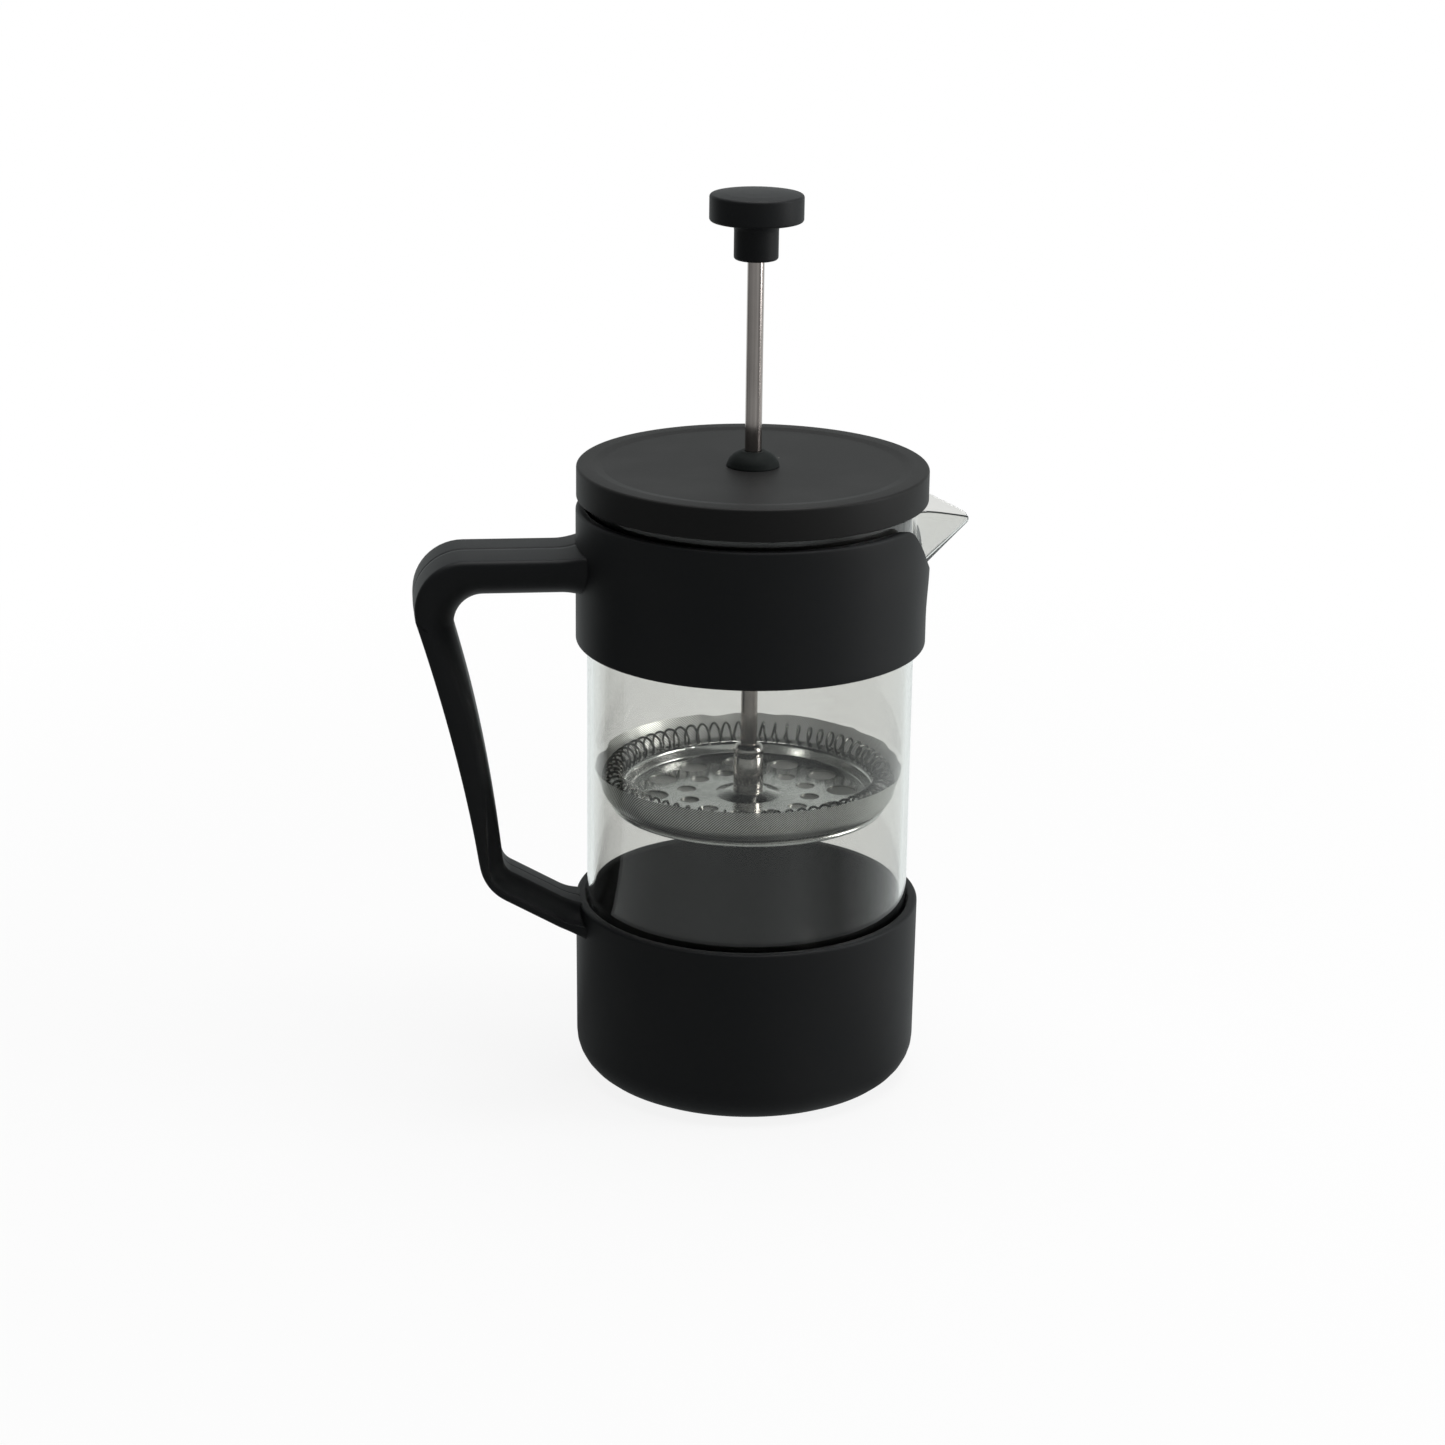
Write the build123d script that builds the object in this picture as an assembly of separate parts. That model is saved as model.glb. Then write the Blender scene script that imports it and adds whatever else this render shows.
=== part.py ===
"""French press: a glass beaker in a moulded frame, with a lid and a sliding filter plunger.

Millimetres, +Z up. The origin is the centre of the base's underside. The handle is on -X, the
spout on +X. The plunger is drawn part way down, as the press stands on a table.
"""
from build123d import *
import math
import os

# Glass beaker
GLASS_RADIUS = 45.0
GLASS_WALL = 1.6
GLASS_FLOOR = 3.0
GLASS_HEIGHT = 164.0
GLASS_FOOT_ROUND = 9.0
GLASS_RIM_ROUND = 0.6

# Spout: a V in plan whose nose leans out and whose lip falls to the tip
SPOUT_LENGTH = 14.9
SPOUT_DROP = 9.4
SPOUT_HALF_ANGLE = 32.0
SPOUT_LEAN = 45.0
SPOUT_NOSE_ROUND = 2.0
SPOUT_LIP_FALL = 24.5
SPOUT_LIP_ROUND = 12.0
SPOUT_LIP_SHELF = 4.2

# Frame: base cup and upper band
FRAME_GAP = 0.35
FRAME_WALL = 2.8
FRAME_EDGE_ROUND = 0.8
BASE_HEIGHT = 51.5
BASE_DRAFT = 0.3
BASE_FLOOR = 3.0
BASE_FOOT_ROUND = 10.4
SEAT_RIB_COUNT = 6
SEAT_RIB_HEIGHT = 2.0
SEAT_RIB_WIDTH = 3.0
SEAT_RIB_INNER = 14.0
BAND_HEIGHT = 37.8
BAND_BELOW_RIM = 4.9
NOTCH_WIDTH = 54.4
NOTCH_SIDE_SLOPE = 44.0
NOTCH_FLOOR_ROUND = 24.0
NOTCH_CORNER_ROUND = 8.0
NOTCH_SPOUT_GAP = 0.5

# Handle, measured outwards from the frame's wall; its sides lean in towards a narrow inner face
HANDLE_WIDTH = 25.0
HANDLE_INNER_WIDTH = 12.5
HANDLE_TAPER = 4.3
HANDLE_EDGE_ROUND = 1.4
HANDLE_ROOT = 5.0
ARM_BELOW_BAND_TOP = 10.9
ARM_THICKNESS = 11.1
FOOT_BELOW_BASE_TOP = 0.3
FOOT_THICKNESS = 7.8
FOOT_RISE = 29.3
GRIP_TOP_REACH = 49.8
GRIP_TOP_THICKNESS = 13.75
GRIP_FOOT_REACH = 26.6
GRIP_FOOT_THICKNESS = 6.15
GRIP_OUTER_BOW = 2.35
GRIP_INNER_BOW = 1.8
GRIP_OUTER_TOP_ROUND = 14.0
GRIP_INNER_TOP_ROUND = 8.0
GRIP_OUTER_FOOT_ROUND = 14.0
GRIP_INNER_FOOT_ROUND = 5.0

# Lid
LID_GAP = 0.7
LID_WALL = 2.3
LID_HEIGHT = 8.9
LID_OVERLAP = 2.2
LID_TOP = 2.4
LID_RIM_WIDTH = 5.8
LID_RECESS = 0.3
LID_EDGE_ROUND = 1.0
LID_SEAT_GAP = 0.3
LID_LIP_GAP = 0.5

# Strainer ring under the lid
STRAINER_GAP = 0.6
STRAINER_WALL = 1.8
STRAINER_DEPTH = 15.8
STRAINER_FLANGE_WIDTH = 6.4
STRAINER_FLANGE = 1.6
POUR_SLOT_COUNT = 9
POUR_SLOT_PITCH = 7.0
POUR_SLOT_WIDTH = 2.6
POUR_SLOT_HEIGHT = 8.0
POUR_SLOT_LIFT = 3.0

# Rod guide
RUNNING_GAP = 0.05
GUIDE_DOME_RADIUS = 7.3
GUIDE_DOME_HEIGHT = 4.2
GUIDE_DOME_BULGE = 1.1
GUIDE_TOP_LAND = 0.7
GUIDE_SHANK_WALL = 2.6
GUIDE_COLLAR_WIDTH = 1.4
GUIDE_COLLAR_HEIGHT = 2.2
GUIDE_COLLAR_GAP = 0.2

# Plunger rod, knob and ferrule
ROD_RADIUS = 2.3
ROD_THREAD_RADIUS = 2.0
PLUNGER_RAISED = 52.2
PLUNGER_LENGTH = 149.3
KNOB_RADIUS = 12.65
KNOB_DISC = 7.2
KNOB_CROWN = 0.7
KNOB_EDGE_ROUND = 1.2
KNOB_NECK_RADIUS = 6.0
KNOB_NECK = 10.2
KNOB_NECK_ROUND = 2.4
KNOB_NECK_EDGE = 0.8
INSERT_WALL = 1.6
INSERT_LENGTH = 11.0
INSERT_INSET = 0.5
FERRULE_RADIUS = 4.2
FERRULE_LENGTH = 13.5
FERRULE_ROUND = 1.8
FERRULE_THREAD = 6.4
STUD_RADIUS = 2.5
STUD_GRIP = 6.0
STUD_HEAD_RADIUS = 5.0
STUD_HEAD = 1.1
STUD_HOLE_GAP = 0.1

# Filter pack
PLATE_SHEET = 0.5
PLATE_CONE_RADIUS = 9.2
PLATE_CONE_TOP = 5.2
PLATE_CONE_RISE = 1.2
PLATE_FLANGE_WIDTH = 4.7
PLATE_FLANGE_RISE = 3.5
PLATE_WALL_TAPER = 0.5
PLATE_BEND = 0.9
LARGE_HOLE_COUNT = 12
LARGE_HOLE_RADIUS = 4.1
LARGE_HOLE_INSET = 7.4
SMALL_HOLE_COUNT = 12
SMALL_HOLE_RADIUS = 2.7
SMALL_HOLE_INSET = 16.4
SPRING_TURNS = 66
SPRING_WIRE = 0.7
SPRING_COIL_RADIUS = 2.75
SPRING_GAP = 0.3
SPRING_TUCK = 0.15
SPRING_HOLE_GAP = 0.2
MESH_SHEET = 0.3
MESH_GAP = 0.3
MESH_FLARE = 1.5
MESH_RISE = 10.3
MESH_FLOOR_INSET = 1.4
CROSS_SHEET = 0.8
CROSS_LIP_ROUND = 0.7
CROSS_OVERHANG = 1.3
CROSS_RING_WIDTH = 8.0
CROSS_SPOKE_WIDTH = 10.0
CROSS_HUB_RADIUS = 11.0

# Heights and radii that follow from the sizes above
glass_bottom = BASE_FLOOR + SEAT_RIB_HEIGHT
glass_inner = GLASS_RADIUS - GLASS_WALL
rim_z = glass_bottom + GLASS_HEIGHT
frame_inner = GLASS_RADIUS + FRAME_GAP
frame_outer = frame_inner + FRAME_WALL
band_top = rim_z - BAND_BELOW_RIM
band_bottom = band_top - BAND_HEIGHT
lid_inner = GLASS_RADIUS + LID_GAP
lid_outer = lid_inner + LID_WALL
skirt_z = rim_z - LID_OVERLAP
lid_z = skirt_z + LID_HEIGHT
lid_under = lid_z - LID_TOP
guide_shank = ROD_RADIUS + RUNNING_GAP + GUIDE_SHANK_WALL
guide_seat = lid_z - LID_RECESS
guide_top = guide_seat + GUIDE_DOME_HEIGHT
knob_z = guide_top + PLUNGER_RAISED
filter_seat = knob_z - PLUNGER_LENGTH
plate_under = filter_seat - PLATE_CONE_RISE - PLATE_SHEET
mesh_under = plate_under - MESH_SHEET
cross_under = mesh_under - CROSS_SHEET
insert_radius = ROD_THREAD_RADIUS + INSERT_WALL
mesh_rim = glass_inner - MESH_GAP
mesh_belly = mesh_rim - MESH_FLARE
spring_ring = mesh_belly - MESH_SHEET - SPRING_GAP - SPRING_WIRE / 2 - SPRING_COIL_RADIUS
flange_under = plate_under + PLATE_FLANGE_RISE
spring_z = flange_under - SPRING_TUCK - SPRING_WIRE / 2 + SPRING_COIL_RADIUS


def spring_offset(z):
    """How far the coil's wire lies from the coil's own axis, sideways, at height z."""
    return math.sqrt(SPRING_COIL_RADIUS ** 2 - (spring_z - z) ** 2)


spring_clear = SPRING_COIL_RADIUS - SPRING_WIRE / 2 - SPRING_TUCK / 2
spring_wrap = math.sqrt(spring_clear ** 2 - (spring_z - flange_under) ** 2)
flange_edge = spring_ring + spring_wrap
plate_floor = flange_edge - PLATE_FLANGE_WIDTH
mesh_floor = flange_edge - MESH_FLOOR_INSET
cross_outer = mesh_floor + CROSS_OVERHANG


def turned(*corners):
    """Solid of revolution about Z from (radius, height, rounding) corners."""
    points = [(radius, z) for radius, z, rounding in corners]
    roundings = [rounding for radius, z, rounding in corners]
    outline = FilletPolyline(*points, radius=roundings, close=True)
    return revolve(Plane.XZ * make_face(outline), Axis.Z)


def rounded(face, *corners):
    """The face with its ((x, y), rounding) corners filleted."""
    for point, rounding in corners:
        face = fillet(face.vertices().sort_by_distance((*point, 0))[0], rounding)
    return face


def pin(radius, low, high):
    """Upright cylinder on the axis between two heights."""
    return Pos(0, 0, low) * Cylinder(radius, high - low, align=(Align.CENTER, Align.CENTER, Align.MIN))


def pressed_sheet(thickness, bend, *points):
    """Turned sheet metal whose middle line runs through (radius, height) points."""
    middle = FilletPolyline(*points, radius=[bend] * (len(points) - 2))
    return revolve(Plane.XZ * trace(middle, thickness), Axis.Z)


def spout_prism(inset, high):
    """The spout's V, drawn in by inset all round, from inside the glass wall up to height high."""
    half_slope = math.tan(math.radians(SPOUT_HALF_ANGLE))
    lean_slope = math.tan(math.radians(SPOUT_LEAN))
    low = rim_z - SPOUT_DROP - (SPOUT_LENGTH + 2 * GLASS_WALL) * lean_slope
    shift = inset * math.sqrt(1 + half_slope ** 2 * (1 + 1 / lean_slope ** 2)) / half_slope
    nose_cut = SPOUT_NOSE_ROUND * (1 / math.sin(math.radians(SPOUT_HALF_ANGLE)) - 1)
    nose = GLASS_RADIUS - 2 * GLASS_WALL - shift + nose_cut
    back = GLASS_RADIUS / 3
    half_width = (nose - back) * half_slope
    corners = ((back, -half_width), (nose, 0), (back, half_width))
    plan = make_face(FilletPolyline(*corners, radius=(0, SPOUT_NOSE_ROUND, 0), close=True))
    rise = Vector(1 / lean_slope, 0, 1)
    return extrude(Pos(0, 0, low) * plan, amount=(high - low) * rise.length, dir=rise.normalized())


def lip_cutter():
    """Everything above the spout's lip, which dips under the lid's skirt and then falls to the tip."""
    fall_slope = math.tan(math.radians(SPOUT_LIP_FALL))
    tip_x = GLASS_RADIUS + SPOUT_LENGTH
    tip_z = rim_z - SPOUT_DROP
    lip_z = skirt_z - LID_LIP_GAP
    lip_x = tip_x - (lip_z - tip_z) / fall_slope
    shelf_x = lip_x - SPOUT_LIP_SHELF
    above = 2 * (rim_z - lip_z)
    beyond = tip_x + SPOUT_LENGTH
    corners = (
        (shelf_x - above, lip_z + above),
        (shelf_x, lip_z),
        (lip_x, lip_z),
        (beyond, tip_z - (beyond - tip_x) * fall_slope),
        (beyond, lip_z + above),
    )
    outline = FilletPolyline(*corners, radius=(0, SPOUT_NOSE_ROUND, SPOUT_LIP_ROUND, 0, 0), close=True)
    return extrude(Plane.XZ * make_face(outline), amount=GLASS_RADIUS, both=True)


def glass_beaker():
    """Blown beaker with an even wall, and a spout pulled out of its rim."""
    body = turned(
        (0, glass_bottom, 0),
        (GLASS_RADIUS, glass_bottom, GLASS_FOOT_ROUND),
        (GLASS_RADIUS, rim_z, GLASS_RIM_ROUND),
        (glass_inner, rim_z, GLASS_RIM_ROUND),
        (glass_inner, glass_bottom + GLASS_FLOOR, GLASS_FOOT_ROUND - GLASS_WALL),
        (0, glass_bottom + GLASS_FLOOR, 0),
    )
    spout = spout_prism(0, rim_z) - pin(glass_inner, glass_bottom, rim_z)
    return body + spout - spout_prism(GLASS_WALL, rim_z) - lip_cutter()


def drawn_in(corner, one, other, inset):
    """The corner between lines to two points, moved away from them until both lines have moved by inset."""
    first = (Vector(one) - Vector(corner)).normalized()
    second = (Vector(other) - Vector(corner)).normalized()
    moved = Vector(corner) - (first + second) * (inset / first.cross(second).length)
    return (moved.X, moved.Y)


def handle_side(inset):
    """Side view of the C, its arms run on into the frame's walls and its inner line drawn in by inset."""
    arm_top = band_top - ARM_BELOW_BAND_TOP
    arm_under = arm_top - ARM_THICKNESS
    foot_top = BASE_HEIGHT - FOOT_BELOW_BASE_TOP
    foot_slope = math.tan(math.radians(FOOT_RISE))
    root_x = -frame_inner + FRAME_WALL
    top_x = -frame_outer - GRIP_TOP_REACH
    inner_top_x = top_x + GRIP_TOP_THICKNESS
    foot_x = -frame_outer - GRIP_FOOT_REACH
    inner_foot_x = foot_x + GRIP_FOOT_THICKNESS

    def foot_z(x):
        return foot_top + (-frame_outer - x) * foot_slope

    outer_top = (top_x, arm_top)
    outer_foot = (foot_x, foot_z(foot_x) - FOOT_THICKNESS)
    full_top = (inner_top_x, arm_under)
    full_foot = (inner_foot_x, foot_z(inner_foot_x))
    root_foot_z = foot_z(root_x)
    inner_top = drawn_in(full_top, (root_x, arm_under), full_foot, inset)
    inner_foot = drawn_in(full_foot, (root_x, root_foot_z), full_top, inset)
    inner_root_z = root_foot_z - inset * math.hypot(1, foot_slope)
    outer_bow = ((outer_top[0] + outer_foot[0]) / 2 + GRIP_OUTER_BOW, (outer_top[1] + outer_foot[1]) / 2)
    inner_bow = ((inner_top[0] + inner_foot[0]) / 2 + GRIP_INNER_BOW, (inner_top[1] + inner_foot[1]) / 2)
    outline = Curve() + [
        Line((root_x, arm_top), outer_top),
        ThreePointArc(outer_top, outer_bow, outer_foot),
        Polyline(outer_foot, (root_x, root_foot_z - FOOT_THICKNESS), (root_x, inner_root_z), inner_foot),
        ThreePointArc(inner_foot, inner_bow, inner_top),
        Polyline(inner_top, (root_x, arm_under + inset), (root_x, arm_top)),
    ]
    return rounded(
        make_face(outline.edges()),
        (outer_top, GRIP_OUTER_TOP_ROUND),
        (outer_foot, GRIP_OUTER_FOOT_ROUND),
        (inner_foot, GRIP_INNER_FOOT_ROUND + inset),
        (inner_top, GRIP_INNER_TOP_ROUND + inset),
    )


def full_handle():
    """The whole C of the handle: an even middle, and two flanks that lean out to the outer face."""
    edge, shoulder = HANDLE_WIDTH / 2, HANDLE_INNER_WIDTH / 2
    places = ((-edge, HANDLE_TAPER), (-shoulder, 0), (shoulder, 0), (edge, HANDLE_TAPER))
    blank = loft([Plane.XZ.offset(across) * handle_side(inset) for across, inset in places], ruled=True)
    blank = fillet(blank.faces().filter_by(Axis.Y).edges(), HANDLE_EDGE_ROUND)
    return blank - pin(frame_inner + FRAME_WALL / 2, 0, rim_z)


def arm_roots():
    """Box that takes the two arm roots off the handle."""
    depth = frame_outer + HANDLE_ROOT
    height = rim_z
    return Pos(-depth / 2, 0, height / 2) * Box(depth, 2 * HANDLE_WIDTH, height)


def handle():
    """Grip and arms between the two roots."""
    return full_handle() - arm_roots()


def base_cup():
    """Cup that the glass stands in, on ribs, with the root of the lower arm."""
    cup = turned(
        (0, 0, 0),
        (frame_outer - BASE_DRAFT, 0, BASE_FOOT_ROUND),
        (frame_outer, BASE_HEIGHT, FRAME_EDGE_ROUND),
        (frame_inner, BASE_HEIGHT, FRAME_EDGE_ROUND),
        (frame_inner, BASE_FLOOR, BASE_FOOT_ROUND - FRAME_WALL),
        (0, BASE_FLOOR, 0),
    )
    rib_end = GLASS_RADIUS - GLASS_FOOT_ROUND
    rib_length = rib_end - SEAT_RIB_INNER
    rib = Box(rib_length, SEAT_RIB_WIDTH, SEAT_RIB_HEIGHT, align=(Align.MIN, Align.CENTER, Align.MIN))
    ribs = PolarLocations(SEAT_RIB_INNER, SEAT_RIB_COUNT)
    cup += [Pos(0, 0, BASE_FLOOR) * place * rib for place in ribs]
    middle_z = (BASE_HEIGHT + band_bottom) / 2
    root = full_handle() & arm_roots() & pin(2 * frame_outer, 0, middle_z)
    return cup + root


def upper_band():
    """Collar round the glass, with an open notch for the spout and the root of the upper arm."""
    ring = turned(
        (frame_inner, band_bottom, FRAME_EDGE_ROUND),
        (frame_outer, band_bottom, FRAME_EDGE_ROUND),
        (frame_outer, band_top, FRAME_EDGE_ROUND),
        (frame_inner, band_top, FRAME_EDGE_ROUND),
    )
    half_width = NOTCH_WIDTH / 2
    foot_z = band_top - half_width * math.tan(math.radians(NOTCH_SIDE_SLOPE))
    wide = half_width + 2 * NOTCH_CORNER_ROUND
    corners = (
        (-wide, band_top, 0),
        (-half_width, band_top, NOTCH_CORNER_ROUND),
        (0, foot_z, NOTCH_FLOOR_ROUND),
        (half_width, band_top, NOTCH_CORNER_ROUND),
        (wide, band_top, 0),
        (wide, rim_z, 0),
        (-wide, rim_z, 0),
    )
    points = [(across, z) for across, z, rounding in corners]
    roundings = [rounding for across, z, rounding in corners]
    notch = make_face(FilletPolyline(*points, radius=roundings, close=True))
    ring -= extrude(Plane.YZ * notch, amount=2 * frame_outer)
    ring -= spout_prism(-NOTCH_SPOUT_GAP, rim_z)
    middle_z = (BASE_HEIGHT + band_bottom) / 2
    root = full_handle() & arm_roots() & pin(2 * frame_outer, middle_z, rim_z)
    return ring + root


def lid_shell():
    """Round lid with a shallow recessed top, a skirt outside the glass and a seat on its rim."""
    recess = lid_outer - LID_RIM_WIDTH
    seat_z = rim_z + LID_SEAT_GAP
    hole = guide_shank + RUNNING_GAP
    return turned(
        (hole, lid_under, 0),
        (glass_inner, lid_under, 0),
        (glass_inner, seat_z, 0),
        (lid_inner, seat_z, 0),
        (lid_inner, skirt_z, 0),
        (lid_outer, skirt_z, 0),
        (lid_outer, lid_z, LID_EDGE_ROUND),
        (recess, lid_z, 0),
        (recess - LID_RECESS, lid_z - LID_RECESS, 0),
        (hole, lid_z - LID_RECESS, 0),
    )


def lid_strainer_ring():
    """Ring that keeps the lid centred in the glass, with a comb of pouring slots towards the spout."""
    outer = glass_inner - STRAINER_GAP
    inner = outer - STRAINER_WALL
    bottom = lid_under - STRAINER_DEPTH
    ring = turned(
        (inner, bottom, 0),
        (outer, bottom, 0),
        (outer, lid_under, 0),
        (outer - STRAINER_FLANGE_WIDTH, lid_under, 0),
        (outer - STRAINER_FLANGE_WIDTH, lid_under - STRAINER_FLANGE, 0),
        (inner, lid_under - STRAINER_FLANGE, 0),
    )
    standing = (Align.CENTER, Align.CENTER, Align.MIN)
    slot = Box(4 * STRAINER_WALL, POUR_SLOT_WIDTH, POUR_SLOT_HEIGHT, align=standing)
    slot = fillet(slot.edges().filter_by(Axis.X), POUR_SLOT_WIDTH / 3)
    for index in range(POUR_SLOT_COUNT):
        turn = (index - (POUR_SLOT_COUNT - 1) / 2) * POUR_SLOT_PITCH
        ring -= Rot(0, 0, turn) * Pos(inner, 0, bottom + POUR_SLOT_LIFT) * slot
    return ring


def rod_guide():
    """Domed bush that snaps into the lid's hole and guides the rod."""
    bore = ROD_RADIUS + RUNNING_GAP
    land = bore + GUIDE_TOP_LAND
    collar_top = lid_under - GUIDE_COLLAR_GAP
    collar = guide_shank + GUIDE_COLLAR_WIDTH
    collar_bottom = collar_top - GUIDE_COLLAR_HEIGHT
    mid_dome = ((GUIDE_DOME_RADIUS + land) / 2, (guide_seat + guide_top) / 2)
    chord = math.hypot(GUIDE_DOME_RADIUS - land, GUIDE_DOME_HEIGHT)
    bulge = (
        mid_dome[0] + GUIDE_DOME_BULGE * GUIDE_DOME_HEIGHT / chord,
        mid_dome[1] + GUIDE_DOME_BULGE * (GUIDE_DOME_RADIUS - land) / chord,
    )
    outline = Curve() + [
        Polyline((land, guide_top), (bore, guide_top), (bore, collar_bottom), (collar, collar_bottom),
                 (collar, collar_top), (guide_shank, collar_top), (guide_shank, guide_seat),
                 (GUIDE_DOME_RADIUS, guide_seat)),
        ThreePointArc((GUIDE_DOME_RADIUS, guide_seat), bulge, (land, guide_top)),
    ]
    return revolve(Plane.XZ * make_face(outline.edges()), Axis.Z)


def knob():
    """Flat round knob with a low crown, on a neck, with a socket for its threaded insert."""
    disc_z = knob_z + KNOB_NECK
    disc_top = disc_z + KNOB_DISC
    crown_top = disc_top + KNOB_CROWN
    crown_radius = (KNOB_RADIUS ** 2 + KNOB_CROWN ** 2) / (2 * KNOB_CROWN)
    half_way = KNOB_RADIUS / 2
    half_way_z = crown_top - crown_radius + math.sqrt(crown_radius ** 2 - half_way ** 2)
    outline = Curve() + [
        Polyline((0, crown_top), (0, knob_z), (KNOB_NECK_RADIUS, knob_z), (KNOB_NECK_RADIUS, disc_z),
                 (KNOB_RADIUS, disc_z), (KNOB_RADIUS, disc_top)),
        ThreePointArc((KNOB_RADIUS, disc_top), (half_way, half_way_z), (0, crown_top)),
    ]
    side = rounded(
        make_face(outline.edges()),
        ((KNOB_NECK_RADIUS, knob_z), KNOB_NECK_EDGE),
        ((KNOB_NECK_RADIUS, disc_z), KNOB_NECK_ROUND),
        ((KNOB_RADIUS, disc_z), KNOB_EDGE_ROUND),
        ((KNOB_RADIUS, disc_top), KNOB_EDGE_ROUND),
    )
    socket = pin(insert_radius, knob_z + INSERT_INSET, knob_z + INSERT_INSET + INSERT_LENGTH)
    mouth = pin(ROD_RADIUS + RUNNING_GAP, knob_z, knob_z + INSERT_INSET)
    return revolve(Plane.XZ * side, Axis.Z) - socket - mouth


def knob_insert():
    """Threaded brass sleeve moulded into the knob."""
    low = knob_z + INSERT_INSET
    high = low + INSERT_LENGTH
    return pin(insert_radius, low, high) - pin(ROD_THREAD_RADIUS, low, high)


def plunger_rod():
    """Steel rod with a thinner threaded end for the knob."""
    shoulder = knob_z + INSERT_INSET
    shaft = pin(ROD_RADIUS, filter_seat + FERRULE_THREAD, shoulder)
    return shaft + pin(ROD_THREAD_RADIUS, shoulder, shoulder + INSERT_LENGTH)


def rod_ferrule():
    """Sleeve pressed on the rod's end, with a thread below it for the filter's stud."""
    top = filter_seat + FERRULE_LENGTH
    thread = STUD_RADIUS + RUNNING_GAP
    return turned(
        (thread, filter_seat, 0),
        (FERRULE_RADIUS, filter_seat, 0),
        (FERRULE_RADIUS, top, FERRULE_ROUND),
        (ROD_RADIUS, top, 0),
        (ROD_RADIUS, filter_seat + FERRULE_THREAD, 0),
        (thread, filter_seat + FERRULE_THREAD, 0),
    )


def clamp_stud():
    """Threaded stud with a flat head that clamps the filter pack to the ferrule."""
    head = pin(STUD_HEAD_RADIUS, cross_under - STUD_HEAD, cross_under)
    return head + pin(STUD_RADIUS, cross_under, filter_seat + STUD_GRIP)


def spring_angle(turn):
    """Place round the filter, in radians, of a point this many turns along the spring."""
    return 2 * math.pi * turn / (SPRING_TURNS + 1)


def spring_point(turn):
    """Wire's middle after this many turns: it starts inside the ring and goes up, over and round."""
    coil = math.pi - 2 * math.pi * turn
    radius = spring_ring + SPRING_COIL_RADIUS * math.cos(coil)
    around = spring_angle(turn)
    height = spring_z + SPRING_COIL_RADIUS * math.sin(coil)
    return Vector(radius * math.cos(around), radius * math.sin(around), height)


def spring_heading(turn):
    """Direction of the wire there, upright at its two ends."""
    if turn in (0, SPRING_TURNS):
        return Vector(0, 0, 1)
    step = 1e-4
    return (spring_point(turn + step) - spring_point(turn - step)).normalized()


def arc_from(start, heading, end):
    """Arc from start along heading to end."""
    chord = end - start
    corner = start + heading * (chord.length ** 2 / (2 * chord.dot(heading)))
    middle = (start + end) * 0.5
    half_turn = heading.get_angle(chord) / 2
    sagitta = chord.length / 2 * math.tan(math.radians(half_turn))
    return ThreePointArc(start, middle + (corner - middle).normalized() * sagitta, end)


def biarc(start, start_heading, end, end_heading):
    """Two arcs that join two points with the given headings."""
    span = end - start
    both = start_heading + end_heading
    square = 2 * (start_heading.dot(end_heading) - 1)
    linear = -2 * span.dot(both)
    reach = (-linear - math.sqrt(linear ** 2 - 4 * square * span.dot(span))) / (2 * square)
    join = (start + start_heading * reach + end - end_heading * reach) * 0.5
    back = arc_from(end, -end_heading, join)
    return [arc_from(start, start_heading, join), ThreePointArc(join, back @ 0.5, end)]


def least_gap(edges, per_edge=6):
    """Smallest space between the spring's own turns, measured on points of its middle line."""
    points = [tuple(edge @ (step / per_edge)) for edge in edges for step in range(per_edge)]
    apart = 2 * per_edge
    nearest = min(
        math.dist(points[first], points[second])
        for first in range(len(points))
        for second in range(first + apart, len(points))
    )
    return nearest - SPRING_WIRE


def filter_spring():
    """One wire coiled round the plate's flange, threaded down its edge and up through its holes."""
    foot = spring_point(0)
    foot = Vector(foot.X, foot.Y, flange_under + PLATE_SHEET)
    last = spring_point(SPRING_TURNS)
    edges = [Line(foot, spring_point(0))]
    for half in range(2 * SPRING_TURNS):
        start = half / 2
        end = start + 0.5
        here, there = spring_point(start), spring_point(end)
        edges += biarc(here, spring_heading(start), there, spring_heading(end))
    edges.append(Line(last, last + Vector(0, 0, SPRING_WIRE)))
    print("spring: least gap between turns", round(least_gap(edges), 2), "mm")
    return sweep(Plane(foot, z_dir=(0, 0, 1)) * Circle(SPRING_WIRE / 2), path=Wire(edges))


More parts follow.
